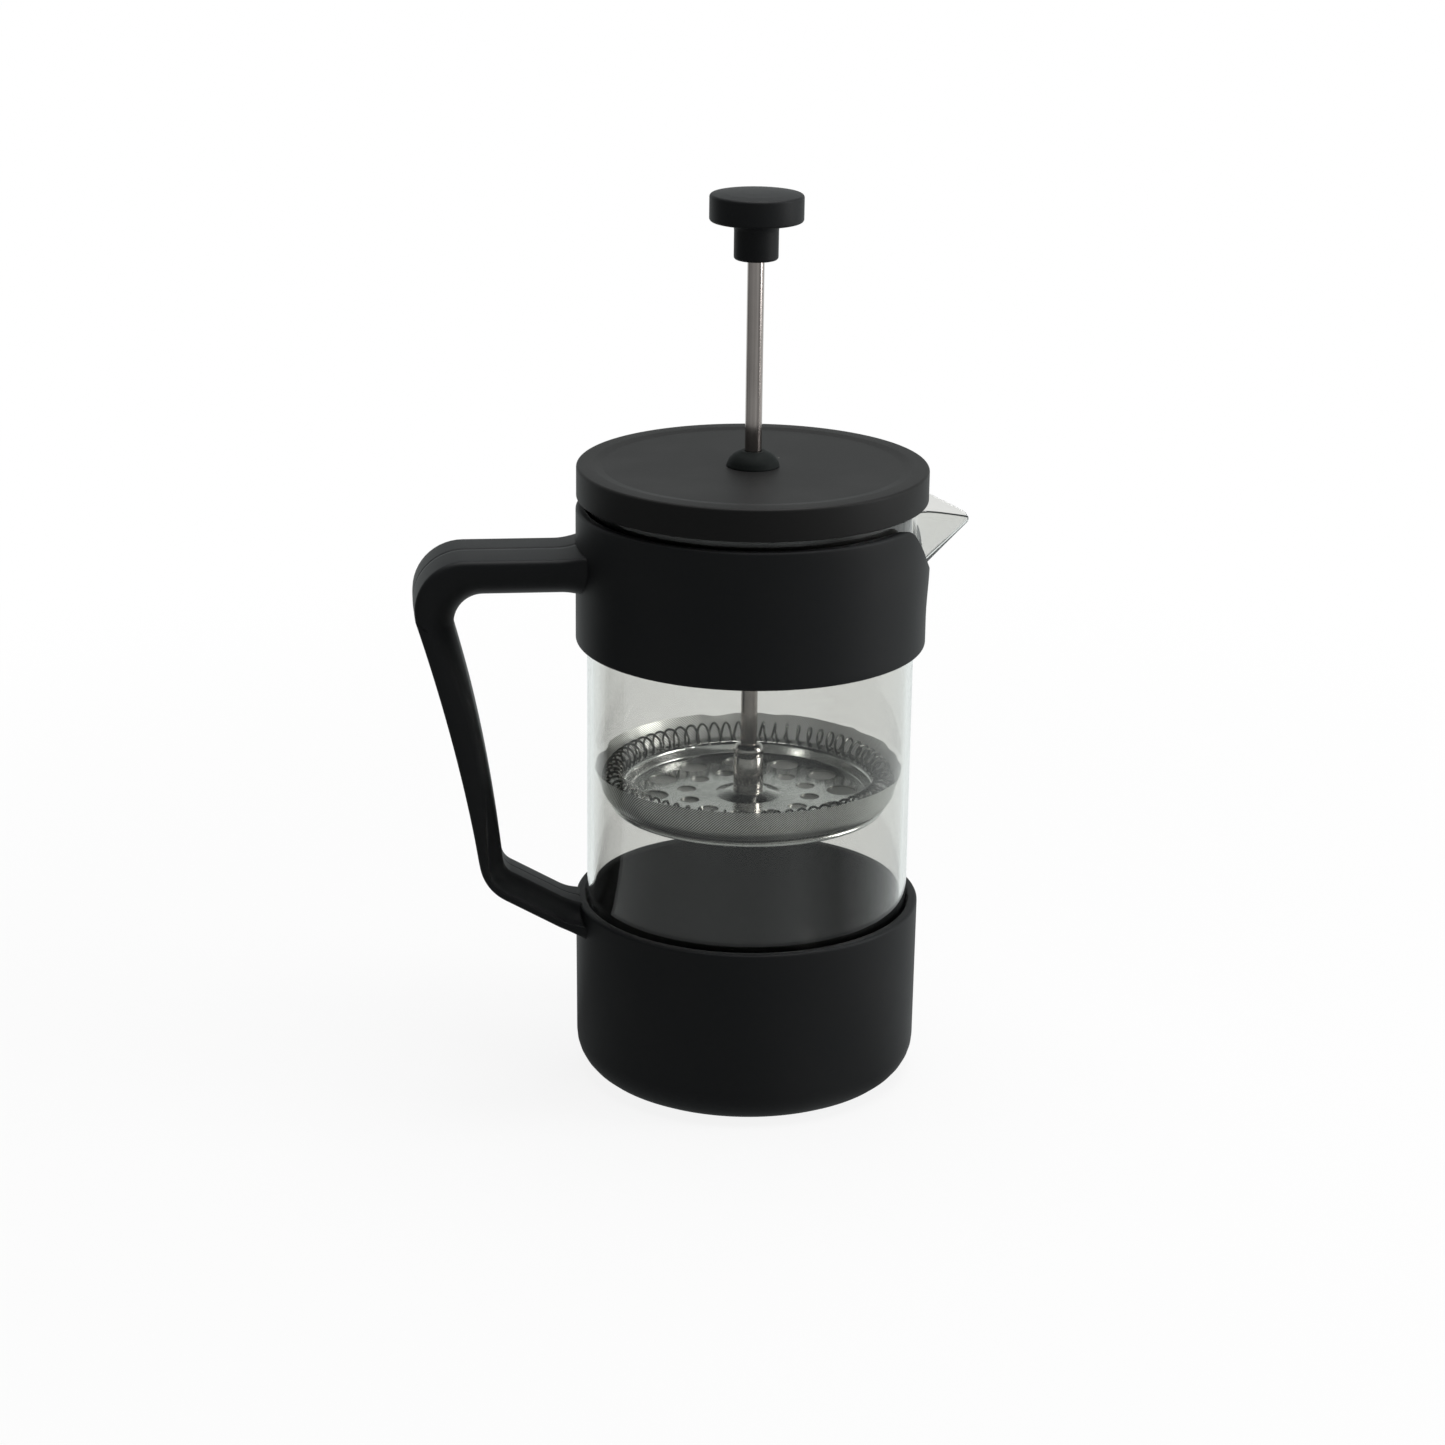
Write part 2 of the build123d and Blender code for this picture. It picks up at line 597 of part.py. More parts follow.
def spiral_plate():
    """Pressed dish with a raised middle, two rings of flow holes and a row of holes for the spring."""
    half_sheet = PLATE_SHEET / 2
    floor_z = plate_under + half_sheet
    bore = STUD_RADIUS + STUD_HOLE_GAP
    plate = pressed_sheet(
        PLATE_SHEET,
        PLATE_BEND,
        (bore, filter_seat - half_sheet),
        (PLATE_CONE_TOP, filter_seat - half_sheet),
        (PLATE_CONE_RADIUS, floor_z),
        (plate_floor, floor_z),
        (plate_floor + PLATE_WALL_TAPER, flange_under + half_sheet),
        (flange_edge, flange_under + half_sheet),
    )
    rings = (
        (LARGE_HOLE_COUNT, LARGE_HOLE_RADIUS, LARGE_HOLE_INSET, 0),
        (SMALL_HOLE_COUNT, SMALL_HOLE_RADIUS, SMALL_HOLE_INSET, 180 / SMALL_HOLE_COUNT),
    )
    for count, radius, inset, first in rings:
        drill = Pos(plate_floor - inset, 0, floor_z) * Cylinder(radius, 4 * PLATE_SHEET)
        plate -= [Rot(0, 0, first + 360 * index / count) * drill for index in range(count)]
    drop = math.asin((spring_z - flange_under - half_sheet) / SPRING_COIL_RADIUS) / (2 * math.pi)
    eye_outer = spring_ring - spring_wrap
    wire_inner = spring_ring - spring_offset(flange_under + PLATE_SHEET) - SPRING_WIRE / 2
    eye_inner = wire_inner - SPRING_HOLE_GAP
    eye = Cylinder((eye_outer - eye_inner) / 2, 4 * PLATE_SHEET)
    eye = Pos((eye_outer + eye_inner) / 2, 0, flange_under + half_sheet) * eye
    turns = [math.degrees(spring_angle(turn - drop)) for turn in range(1, SPRING_TURNS + 1)]
    plate -= [Rot(0, 0, turn) * eye for turn in turns]
    return plate


def mesh_screen():
    """Woven screen drawn as a closed sheet: flat under the plate, then up round the spring."""
    half_sheet = MESH_SHEET / 2
    floor_z = mesh_under + half_sheet
    bore = STUD_RADIUS + STUD_HOLE_GAP
    low = (mesh_floor, floor_z)
    belly = (mesh_belly - half_sheet, spring_z)
    rim = (mesh_rim - half_sheet, mesh_under + MESH_RISE)
    bulge = ((low[0] + belly[0]) / 2 + MESH_FLARE / 2, (low[1] + belly[1]) / 2 - MESH_FLARE / 2)
    sides = [
        Line((bore, floor_z), low),
        ThreePointArc(low, bulge, belly),
        Line(belly, rim),
    ]
    return revolve(Plane.XZ * trace(Curve() + sides, MESH_SHEET), Axis.Z)


def cross_plate():
    """Pressed spider with four openings and a rolled rim, which holds the screen from below."""
    plate = pin(cross_outer - CROSS_LIP_ROUND, cross_under, mesh_under)
    ring_inner = cross_outer - CROSS_RING_WIDTH
    window = pin(ring_inner, cross_under, mesh_under) - pin(CROSS_HUB_RADIUS, cross_under, mesh_under)
    spoke = Pos(0, 0, mesh_under) * Box(2 * ring_inner, CROSS_SPOKE_WIDTH, 4 * CROSS_SHEET)
    for turn in (0, 90):
        window -= Rot(0, 0, turn) * spoke
    lip = Pos(0, 0, mesh_under - CROSS_LIP_ROUND) * Torus(cross_outer - CROSS_LIP_ROUND, CROSS_LIP_ROUND)
    bore = STUD_RADIUS + STUD_HOLE_GAP
    return plate - window + lip - pin(bore, cross_under, mesh_under)


pieces = (
    base_cup,
    upper_band,
    handle,
    glass_beaker,
    lid_shell,
    lid_strainer_ring,
    rod_guide,
    knob,
    knob_insert,
    plunger_rod,
    rod_ferrule,
    spiral_plate,
    filter_spring,
    mesh_screen,
    cross_plate,
    clamp_stud,
)
os.makedirs("parts", exist_ok=True)
for piece in pieces:
    export_step(piece(), f"parts/{piece.__name__}.step")
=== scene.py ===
"""French press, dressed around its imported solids: moulded frame, glass, lid and filter plunger.

Metres, +Z up. The origin is the centre of the base's underside, the handle is on -X and the spout on +X.
"""
import math

import bmesh
import bpy
from mathutils import Matrix, Vector


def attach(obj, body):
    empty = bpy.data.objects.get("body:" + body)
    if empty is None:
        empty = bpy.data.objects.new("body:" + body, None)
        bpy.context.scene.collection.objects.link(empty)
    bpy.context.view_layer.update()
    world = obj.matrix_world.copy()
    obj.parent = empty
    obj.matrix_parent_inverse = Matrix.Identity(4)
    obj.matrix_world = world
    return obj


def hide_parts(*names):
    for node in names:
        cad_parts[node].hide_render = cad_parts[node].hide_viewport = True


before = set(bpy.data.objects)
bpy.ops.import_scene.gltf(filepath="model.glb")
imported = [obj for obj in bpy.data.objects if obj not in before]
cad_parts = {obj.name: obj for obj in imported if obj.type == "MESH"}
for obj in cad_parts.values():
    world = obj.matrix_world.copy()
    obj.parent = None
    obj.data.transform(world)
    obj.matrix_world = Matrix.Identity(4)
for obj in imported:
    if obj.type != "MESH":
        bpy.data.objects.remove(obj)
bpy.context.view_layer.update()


# Base cup, the foot of the frame: black plastic, injection moulded with a fine matt grain.
# The glass stands in it on six low ribs, with a little play all round.
MM = 0.001
FRAME_OUTER = 48.15 * MM
FRAME_INNER = 45.35 * MM
FRAME_EDGE_ROUND = 0.9 * MM
BASE_TOP = 51.5 * MM
BASE_FOOT_RADIUS = 47.85 * MM
BASE_FOOT_ROUND = 10.4 * MM
BASE_INNER_ROUND = 7.6 * MM
BASE_FLOOR = 3.0 * MM
RIB_COUNT = 6
RIB_LENGTH = 22.0 * MM
RIB_WIDTH = 3.0 * MM
RIB_HEIGHT = 2.0 * MM
RIB_MIDDLE = 25.0 * MM
RIB_ROUND = 0.5 * MM
ON_AXIS = 0.0001 * MM
JOIN_GAP = 0.001 * MM
CLOUDS_PER_METRE = 55.0
SPECKS_PER_METRE = 110.0
CLEAN_SHARE = 0.86
HANDLED_GLOSS = -0.025
GRAIN_DEPTH = 0.06 * MM
DUST = (0.26, 0.25, 0.23, 1)


def lay_outline(bm, corners, segments):
    """Lays a face in the XZ plane through (x, z, rounding) corners, and rounds them."""
    placed = [bm.verts.new((x, 0, z)) for x, z, rounding in corners]
    bm.faces.new(placed)
    for index, (x, z, rounding) in enumerate(corners):
        if rounding:
            here = Vector((x, z))
            before = Vector(corners[index - 1][:2]) - here
            after = Vector(corners[(index + 1) % len(corners)][:2]) - here
            bmesh.ops.bevel(
                bm, geom=[placed[index]], offset=rounding / math.tan(before.angle(after) / 2),
                offset_type="OFFSET", segments=segments, profile=0.5, affect="VERTICES", material=-1,
            )


def turned(corners, steps=180, segments=8):
    """Bmesh of a body turned about Z from the closed outline of (radius, z, rounding) corners."""
    bm = bmesh.new()
    lay_outline(bm, corners, segments)
    bmesh.ops.delete(bm, geom=bm.faces[:], context="FACES_ONLY")
    on_axis = [edge for edge in bm.edges if all(abs(v.co.x) < ON_AXIS for v in edge.verts)]
    bmesh.ops.delete(bm, geom=on_axis, context="EDGES")
    bmesh.ops.spin(
        bm, geom=bm.verts[:] + bm.edges[:], cent=(0, 0, 0), axis=(0, 0, 1), angle=2 * math.pi,
        steps=steps, use_merge=True,
    )
    bmesh.ops.remove_doubles(bm, verts=bm.verts[:], dist=JOIN_GAP)
    bmesh.ops.recalc_face_normals(bm, faces=bm.faces[:])
    return bm


def as_piece(name, bm, crisp=40):
    """Object made from a bmesh, smooth but for edges that turn by more than crisp degrees."""
    mesh = bpy.data.meshes.new(name)
    bm.to_mesh(mesh)
    bm.free()
    mesh.shade_smooth()
    mesh.set_sharp_from_angle(angle=math.radians(crisp))
    made = bpy.data.objects.new(name, mesh)
    bpy.context.scene.collection.objects.link(made)
    return made


def add_node(tree, kind, inputs=None, **settings):
    """Adds a shader node; an input given as a socket is linked, any other value is set."""
    made = tree.nodes.new("ShaderNode" + kind)
    for name, value in settings.items():
        setattr(made, name, value)
    for name, value in (inputs or {}).items():
        if isinstance(value, bpy.types.NodeSocket):
            tree.links.new(value, made.inputs[name])
        else:
            made.inputs[name].default_value = value
    return made


def new_finish(name, constants):
    """Material with one Principled shader whose constant sockets are set; returns it with its tree."""
    made = bpy.data.materials.new(name)
    made.use_nodes = True
    shader = made.node_tree.nodes["Principled BSDF"]
    for socket, value in constants.items():
        shader.inputs[socket].default_value = value
    return made, made.node_tree, shader


def moulded_grain():
    """Shader group for moulded plastic: eroded grain, cloudy gloss from handling, specks of dust."""
    tree = bpy.data.node_groups.new("moulded_grain", "ShaderNodeTree")
    for name, kind in (
        ("Plastic", "NodeSocketColor"),
        ("Worn", "NodeSocketColor"),
        ("Dust", "NodeSocketColor"),
        ("Grains per metre", "NodeSocketFloat"),
        ("Roughness", "NodeSocketFloat"),
    ):
        tree.interface.new_socket(name, in_out="INPUT", socket_type=kind)
    for name, kind in (
        ("Color", "NodeSocketColor"),
        ("Roughness", "NodeSocketFloat"),
        ("Height", "NodeSocketFloat"),
    ):
        tree.interface.new_socket(name, in_out="OUTPUT", socket_type=kind)
    given = tree.nodes.new("NodeGroupInput").outputs
    result = tree.nodes.new("NodeGroupOutput").inputs
    place = add_node(tree, "TexCoord").outputs["Object"]
    grain = add_node(
        tree, "TexNoise", {"Vector": place, "Scale": given["Grains per metre"], "Detail": 2.0},
    ).outputs["Fac"]
    cloud = add_node(
        tree, "TexNoise", {"Vector": place, "Scale": CLOUDS_PER_METRE, "Detail": 4.0},
    ).outputs["Fac"]
    worn = add_node(
        tree, "MapRange", {"Value": cloud, "From Min": 0.42, "From Max": 0.72},
    ).outputs["Result"]
    shade = add_node(
        tree, "Mix", {0: worn, 6: given["Plastic"], 7: given["Worn"]}, data_type="RGBA",
    ).outputs[2]
    speck = add_node(tree, "TexVoronoi", {"Vector": place, "Scale": SPECKS_PER_METRE, "Randomness": 1.0})
    dot = add_node(tree, "MapRange", {
        "Value": speck.outputs["Distance"],
        "From Min": 0.018,
        "From Max": 0.030,
        "To Min": 1.0,
        "To Max": 0.0,
    }).outputs["Result"]
    chosen = add_node(tree, "SeparateColor", {"Color": speck.outputs["Color"]}).outputs["Red"]
    kept = add_node(tree, "Math", {0: chosen, 1: CLEAN_SHARE}, operation="GREATER_THAN").outputs[0]
    dusty = add_node(tree, "Math", {0: dot, 1: kept}, operation="MULTIPLY").outputs[0]
    colour = add_node(tree, "Mix", {0: dusty, 6: shade, 7: given["Dust"]}, data_type="RGBA").outputs[2]
    tree.links.new(colour, result["Color"])
    gloss = add_node(
        tree, "Math", {0: worn, 1: HANDLED_GLOSS, 2: given["Roughness"]}, operation="MULTIPLY_ADD",
    )
    tree.links.new(gloss.outputs[0], result["Roughness"])
    tree.links.new(grain, result["Height"])
    return tree


def moulded_finish(name, plastic, worn, roughness, grains, bump, shine):
    """Moulded plastic of a colour, with the shared grain in its gloss and its surface."""
    made, tree, shader = new_finish(name, {"Specular IOR Level": shine})
    group = tree.nodes.new("ShaderNodeGroup")
    group.node_tree = grain_group
    for socket, value in (
        ("Plastic", (*plastic, 1)),
        ("Worn", (*worn, 1)),
        ("Dust", DUST),
        ("Grains per metre", grains),
        ("Roughness", roughness),
    ):
        group.inputs[socket].default_value = value
    tree.links.new(group.outputs["Color"], shader.inputs["Base Color"])
    tree.links.new(group.outputs["Roughness"], shader.inputs["Roughness"])
    relief = add_node(
        tree, "Bump", {"Height": group.outputs["Height"], "Strength": bump, "Distance": GRAIN_DEPTH},
    )
    tree.links.new(relief.outputs["Normal"], shader.inputs["Normal"])
    return made


grain_group = moulded_grain()
black_plastic = moulded_finish(
    "black_plastic", plastic=(0.0062, 0.0068, 0.0074), worn=(0.0070, 0.0073, 0.0077),
    roughness=0.54, grains=3600.0, bump=0.25, shine=0.13,
)
bm = turned([
    (0, 0, 0),
    (BASE_FOOT_RADIUS, 0, BASE_FOOT_ROUND),
    (FRAME_OUTER, BASE_TOP, FRAME_EDGE_ROUND),
    (FRAME_INNER, BASE_TOP, FRAME_EDGE_ROUND),
    (FRAME_INNER, BASE_FLOOR, BASE_INNER_ROUND),
    (0, BASE_FLOOR, 0),
])
for index in range(RIB_COUNT):
    turn = Matrix.Rotation(2 * math.pi * index / RIB_COUNT, 4, "Z")
    place = turn @ Matrix.Translation((RIB_MIDDLE, 0, BASE_FLOOR + RIB_HEIGHT / 2))
    size = Matrix.Diagonal((RIB_LENGTH, RIB_WIDTH, RIB_HEIGHT, 1))
    rib = bmesh.ops.create_cube(bm, size=1, matrix=place @ size)["verts"]
    top = [edge for edge in {e for v in rib for e in v.link_edges}
           if min(v.co.z for v in edge.verts) > BASE_FLOOR + RIB_HEIGHT / 2]
    bmesh.ops.bevel(
        bm, geom=top, offset=RIB_ROUND, offset_type="OFFSET", segments=3, profile=0.5, affect="EDGES",
        material=-1,
    )
base_cup = as_piece("base_cup_moulding", bm)
base_cup.data.materials.append(black_plastic)
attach(base_cup, "frame")
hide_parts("base_cup")


# Upper band, the collar of the frame: the same black moulding, slipped round the glass below its rim.
# A V-shaped notch with soft corners leaves room for the spout, and the wall swells a little below it.
BAND_LOW = 126.3 * MM
BAND_TOP = 164.1 * MM
BAND_ROWS = 14
NOTCH_HALF = 27.2 * MM
NOTCH_SLOPE = math.radians(44)
NOTCH_FLOOR_ROUND = 24.0 * MM
NOTCH_CORNER_ROUND = 8.0 * MM
NOTCH_ROOT = 140.0 * MM
NOTCH_BLEND = 1.0 * MM
SWELL = 0.75 * MM
SWELL_WIDTH = 0.42
SWELL_START = 134.0 * MM
SWELL_FULL = 149.0 * MM
SPOUT_TIP_X = 61.3 * MM
SPOUT_TIP_Z = 160.2 * MM
SPOUT_HALF_SLOPE = math.tan(math.radians(32.0))
SPOUT_NOSE_CUT = 1.77 * MM
SPOUT_ROOM = 0.8 * MM


def soft_min(first, second, blend):
    """The smaller of two lengths, rounded over where they meet."""
    return (first + second - math.hypot(first - second, blend)) / 2


def spout_under(x, y):
    """Height of the spout's leaning underside above the point (x, y)."""
    across = math.hypot(y / SPOUT_HALF_SLOPE, SPOUT_NOSE_CUT)
    return SPOUT_TIP_Z + x + across - SPOUT_TIP_X - SPOUT_NOSE_CUT


def notch_drop(y):
    """How far the notch's edge lies below the band's top: round corners, straight sides, round floor."""
    across = abs(y)
    corner = NOTCH_HALF + NOTCH_CORNER_ROUND * math.tan(NOTCH_SLOPE / 2)
    if across > corner:
        return 0
    if across > corner - NOTCH_CORNER_ROUND * math.sin(NOTCH_SLOPE):
        return NOTCH_CORNER_ROUND - math.sqrt(NOTCH_CORNER_ROUND ** 2 - (corner - across) ** 2)
    depth = NOTCH_HALF * math.tan(NOTCH_SLOPE)
    if across > NOTCH_FLOOR_ROUND * math.sin(NOTCH_SLOPE):
        return depth - across * math.tan(NOTCH_SLOPE)
    middle = depth - NOTCH_FLOOR_ROUND / math.cos(NOTCH_SLOPE)
    return middle + math.sqrt(NOTCH_FLOOR_ROUND ** 2 - across ** 2)


def smooth(value, low, high):
    """Nought below low, one above high and a soft rise between them."""
    share = min(1, max(0, (value - low) / (high - low)))
    return share * share * (3 - 2 * share)


bm = turned([
    (FRAME_INNER, BAND_LOW, FRAME_EDGE_ROUND),
    (FRAME_OUTER, BAND_LOW, FRAME_EDGE_ROUND),
    (FRAME_OUTER, BAND_TOP, FRAME_EDGE_ROUND),
    (FRAME_INNER, BAND_TOP, FRAME_EDGE_ROUND),
], steps=480)
for row in range(1, BAND_ROWS):
    level = BAND_LOW + (BAND_TOP - FRAME_EDGE_ROUND - BAND_LOW) * row / BAND_ROWS
    bmesh.ops.bisect_plane(
        bm, geom=bm.verts[:] + bm.edges[:] + bm.faces[:], plane_co=(0, 0, level), plane_no=(0, 0, 1),
    )
for vert in bm.verts:
    x, y, z = vert.co
    if x > 0:
        edge = soft_min(BAND_TOP - notch_drop(y), spout_under(x, y) - SPOUT_ROOM, NOTCH_BLEND)
        vert.co.z += (edge - BAND_TOP) * smooth(z, NOTCH_ROOT, BAND_TOP - FRAME_EDGE_ROUND)
        around = math.exp(-((math.atan2(y, x) / SWELL_WIDTH) ** 2))
        swell = 1 + SWELL * around * smooth(vert.co.z, SWELL_START, SWELL_FULL) / FRAME_OUTER
        vert.co.x *= swell
        vert.co.y *= swell
upper_band = as_piece("upper_band_moulding", bm)
upper_band.data.materials.append(black_plastic)
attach(upper_band, "frame")
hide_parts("upper_band")


# Handle: the C-shaped grip, moulded in one with the band and the base cup, and flaring into their walls.
# Its sides draw in to a narrower inner face: softly on the upper arm, a little on the grip, and deeply
# above a crisp ridge on the lower arm. A parting line runs along the outer and the inner face.
HANDLE_HALF = 12.5 * MM
ARM_INNER_HALF = 6.25 * MM
GRIP_INNER_HALF = 10.8 * MM
ARM_COVE = 4.3 * MM
HANDLE_CROWN = 0.3 * MM
HANDLE_EDGE_ROUND = 1.5 * MM
UPPER_SOFT = 7.5 * MM
GRIP_SOFT = 3.0 * MM
SOFT_FULLNESS = 0.6
LOWER_RIDGE = 0.8 * MM
LOWER_HOLLOW = 1.0
HANDLE_INNER_ROUND = 1.1 * MM
HANDLE_END = -46.0 * MM
ARM_TOP = 153.2 * MM
ARM_UNDER = 142.1 * MM
ARM_STEPS = 26
FOOT_TOP = 51.2 * MM
FOOT_THICKNESS = 7.8 * MM
FOOT_SLOPE = math.tan(math.radians(29.3))
GRIP_OUTER_TOP = -97.95 * MM
GRIP_INNER_TOP = -84.2 * MM
GRIP_OUTER_FOOT = -74.75 * MM
GRIP_INNER_FOOT = -68.6 * MM
GRIP_OUTER_BOW = 2.35 * MM
GRIP_INNER_BOW = 1.8 * MM
BOW_START = 0.18
BOW_SPAN = 0.68
OUTER_CORNER_ROUND = 14.0 * MM
INNER_TOP_ROUND = 8.0 * MM
INNER_FOOT_ROUND = 5.0 * MM
UPPER_ARM_START = 112.0 * MM
UPPER_ARM_FULL = 140.0 * MM
LOWER_ARM_FULL = 62.0 * MM
LOWER_ARM_END = 95.0 * MM
SLANT_LIMIT = 1.3
GRIP_STEPS = 16
CORNER_STEPS = 16
SECTION_STEPS = 8
FLARE_REACH = 5.0 * MM
ARM_SIDE_FLARE = 1.6 * MM
FOOT_SIDE_FLARE = 0.7 * MM
TOP_FLARE = 0.9 * MM
UNDER_FLARE = 0.3 * MM
PARTING_HALF = 0.25 * MM
PARTING_SHOULDER = 0.55 * MM
PARTING_DEPTH = 0.14 * MM


def foot_height(x):
    """Height of the lower arm's upper side."""
    return FOOT_TOP - (x + FRAME_OUTER) * FOOT_SLOPE


def bowed(start, end, bow):
    """Points between the corners of a side of the grip, which bows towards the glass at its middle."""
    shares = [BOW_START + BOW_SPAN * step / GRIP_STEPS for step in range(GRIP_STEPS + 1)]
    return [
        (start[0] + (end[0] - start[0]) * share + 4 * bow * share * (1 - share),
         start[1] + (end[1] - start[1]) * share, 0)
        for share in shares
    ]


def rounded_line(corners):
    """Points along a line through (x, z, rounding) corners, the rounded ones as arcs."""
    points = []
    for index, (x, z, rounding) in enumerate(corners):
        corner = Vector((x, z))
        if not rounding:
            points.append(corner)
            continue
        before = (Vector(corners[index - 1][:2]) - corner).normalized()
        after = (Vector(corners[index + 1][:2]) - corner).normalized()
        half = before.angle(after) / 2
        middle = corner + (before + after).normalized() * (rounding / math.sin(half))
        start = (corner + before * (rounding / math.tan(half)) - middle).normalized()
        end = (corner + after * (rounding / math.tan(half)) - middle).normalized()
        for step in range(CORNER_STEPS + 1):
            points.append(middle + start.slerp(end, step / CORNER_STEPS) * rounding)
    return points


def arm_stations(wall, grip):
    """Pairs of outer and inner points along an arm, closer together near the wall."""
    shares = [(step / ARM_STEPS) ** 2 for step in range(ARM_STEPS)]
    return [(wall[0].lerp(grip[0], share), wall[1].lerp(grip[1], share)) for share in shares]


def half_section(outer, inner, slant, wider, upper, lower):
    """Half of the handle's section, (depth, across) from the outer face's middle to the inner face's.

    upper and lower tell how far the section belongs to an arm instead of the grip. The side has the
    lower arm's ridge and hollow there, and a soft round edge elsewhere.
    """
    half = HANDLE_HALF + wider
    inner_half = GRIP_INNER_HALF + (ARM_INNER_HALF - GRIP_INNER_HALF) * (upper + lower) + wider
    edge = half - HANDLE_EDGE_ROUND
    ridge = inner - ARM_COVE * slant
    ridge_half = half - LOWER_RIDGE
    cove_end = inner - HANDLE_INNER_ROUND * slant
    soft_start = inner - (GRIP_SOFT + (UPPER_SOFT - GRIP_SOFT) * upper) * slant
    soft_end = inner_half - HANDLE_INNER_ROUND
    quarter = [math.pi / 2 * step / SECTION_STEPS for step in range(SECTION_STEPS + 1)]
    points = [(outer + PARTING_DEPTH, 0)]
    for step in range(SECTION_STEPS):
        across = PARTING_HALF + (edge - PARTING_HALF) * step / SECTION_STEPS
        points.append((outer + HANDLE_CROWN * (across / half) ** 2, across))
    for turn in quarter:
        sunk = HANDLE_CROWN * (edge / half) ** 2 + HANDLE_EDGE_ROUND * slant * (1 - math.cos(turn))
        points.append((outer + sunk, edge + HANDLE_EDGE_ROUND * math.sin(turn)))
    side = []
    for turn in quarter:
        side.append((ridge - LOWER_RIDGE * (1 - math.sin(turn)),
                     ridge_half + LOWER_RIDGE * math.cos(turn)))
    for step, turn in enumerate(quarter[1:], 1):
        straight = step / SECTION_STEPS
        sunk = straight + LOWER_HOLLOW * (1 - math.cos(turn) - straight)
        drawn = straight + LOWER_HOLLOW * (math.sin(turn) - straight)
        side.append((ridge + (cove_end - ridge) * sunk, ridge_half - (ridge_half - inner_half) * drawn))
    for turn in quarter[1:]:
        side.append((inner - HANDLE_INNER_ROUND * slant * (1 - math.sin(turn)),
                     inner_half - HANDLE_INNER_ROUND * (1 - math.cos(turn))))
    for index, (depth, across) in enumerate(side):
        straight = index / (len(side) - 1)
        turn = math.pi / 2 * straight
        sunk = straight + SOFT_FULLNESS * (math.sin(turn) - straight)
        drawn = straight + SOFT_FULLNESS * (1 - math.cos(turn) - straight)
        soft = (soft_start + (inner - soft_start) * sunk, half - (half - soft_end) * drawn)
        points.append((soft[0] + (depth - soft[0]) * lower, soft[1] + (across - soft[1]) * lower))
    return points + [(inner, PARTING_SHOULDER), (inner, PARTING_HALF), (inner - PARTING_DEPTH, 0)]


outer_top = (GRIP_OUTER_TOP, ARM_TOP)
inner_top = (GRIP_INNER_TOP, ARM_UNDER)
outer_foot = (GRIP_OUTER_FOOT, foot_height(GRIP_OUTER_FOOT) - FOOT_THICKNESS)
inner_foot = (GRIP_INNER_FOOT, foot_height(GRIP_INNER_FOOT))
outer_line = rounded_line([
    (HANDLE_END, ARM_TOP, 0),
    (*outer_top, OUTER_CORNER_ROUND),
    *bowed(outer_top, outer_foot, GRIP_OUTER_BOW),
    (*outer_foot, OUTER_CORNER_ROUND),
    (HANDLE_END, foot_height(HANDLE_END) - FOOT_THICKNESS, 0),
])
inner_line = rounded_line([
    (HANDLE_END, ARM_UNDER, 0),
    (*inner_top, INNER_TOP_ROUND),
    *bowed(inner_top, inner_foot, GRIP_INNER_BOW),
    (*inner_foot, INNER_FOOT_ROUND),
    (HANDLE_END, foot_height(HANDLE_END), 0),
])
pairs = list(zip(outer_line, inner_line))
stations = arm_stations(pairs[0], pairs[1]) + pairs[1:-1] + arm_stations(pairs[-1], pairs[-2])[::-1]
bm = bmesh.new()
rings = []
for index, (outer, inner) in enumerate(stations):
    before = stations[max(index - 1, 0)][0]
    after = stations[min(index + 1, len(stations) - 1)][0]
    along = (after - before).normalized()
    inward = (inner - outer).normalized()
    slant = min(SLANT_LIMIT, 1 / abs(inward.cross(along)))
    away = max(0, -(outer.x + inner.x) / 2 - FRAME_OUTER)
    near = max(0, 1 - away / FLARE_REACH)
    if outer.y > inner.y:
        rise, drop, wider = TOP_FLARE, UNDER_FLARE, ARM_SIDE_FLARE
    else:
        rise, drop, wider = UNDER_FLARE, TOP_FLARE, FOOT_SIDE_FLARE
    half = half_section(
        -rise * near ** 2, (inner - outer).length + drop * near ** 2, slant, wider * near ** 2,
        smooth(outer.y, UPPER_ARM_START, UPPER_ARM_FULL),
        1 - smooth(outer.y, LOWER_ARM_FULL, LOWER_ARM_END),
    )
    ring = []
    for depth, across in half + [(depth, -across) for depth, across in half[-2:0:-1]]:
        place = outer + inward * depth
        pulled = place.x + near * (-place.x - math.sqrt(place.x ** 2 - across ** 2))
        ring.append(bm.verts.new((pulled, across, place.y)))
    rings.append([bm.edges.new(pair) for pair in zip(ring, ring[1:] + ring[:1])])
for first, second in zip(rings, rings[1:]):
    bmesh.ops.bridge_loops(bm, edges=first + second)
for end in (rings[0], rings[-1]):
    bmesh.ops.edgeloop_fill(bm, edges=end)
bmesh.ops.recalc_face_normals(bm, faces=bm.faces[:])
handle = as_piece("handle_moulding", bm)
handle.data.materials.append(black_plastic)
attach(handle, "frame")
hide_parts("handle")


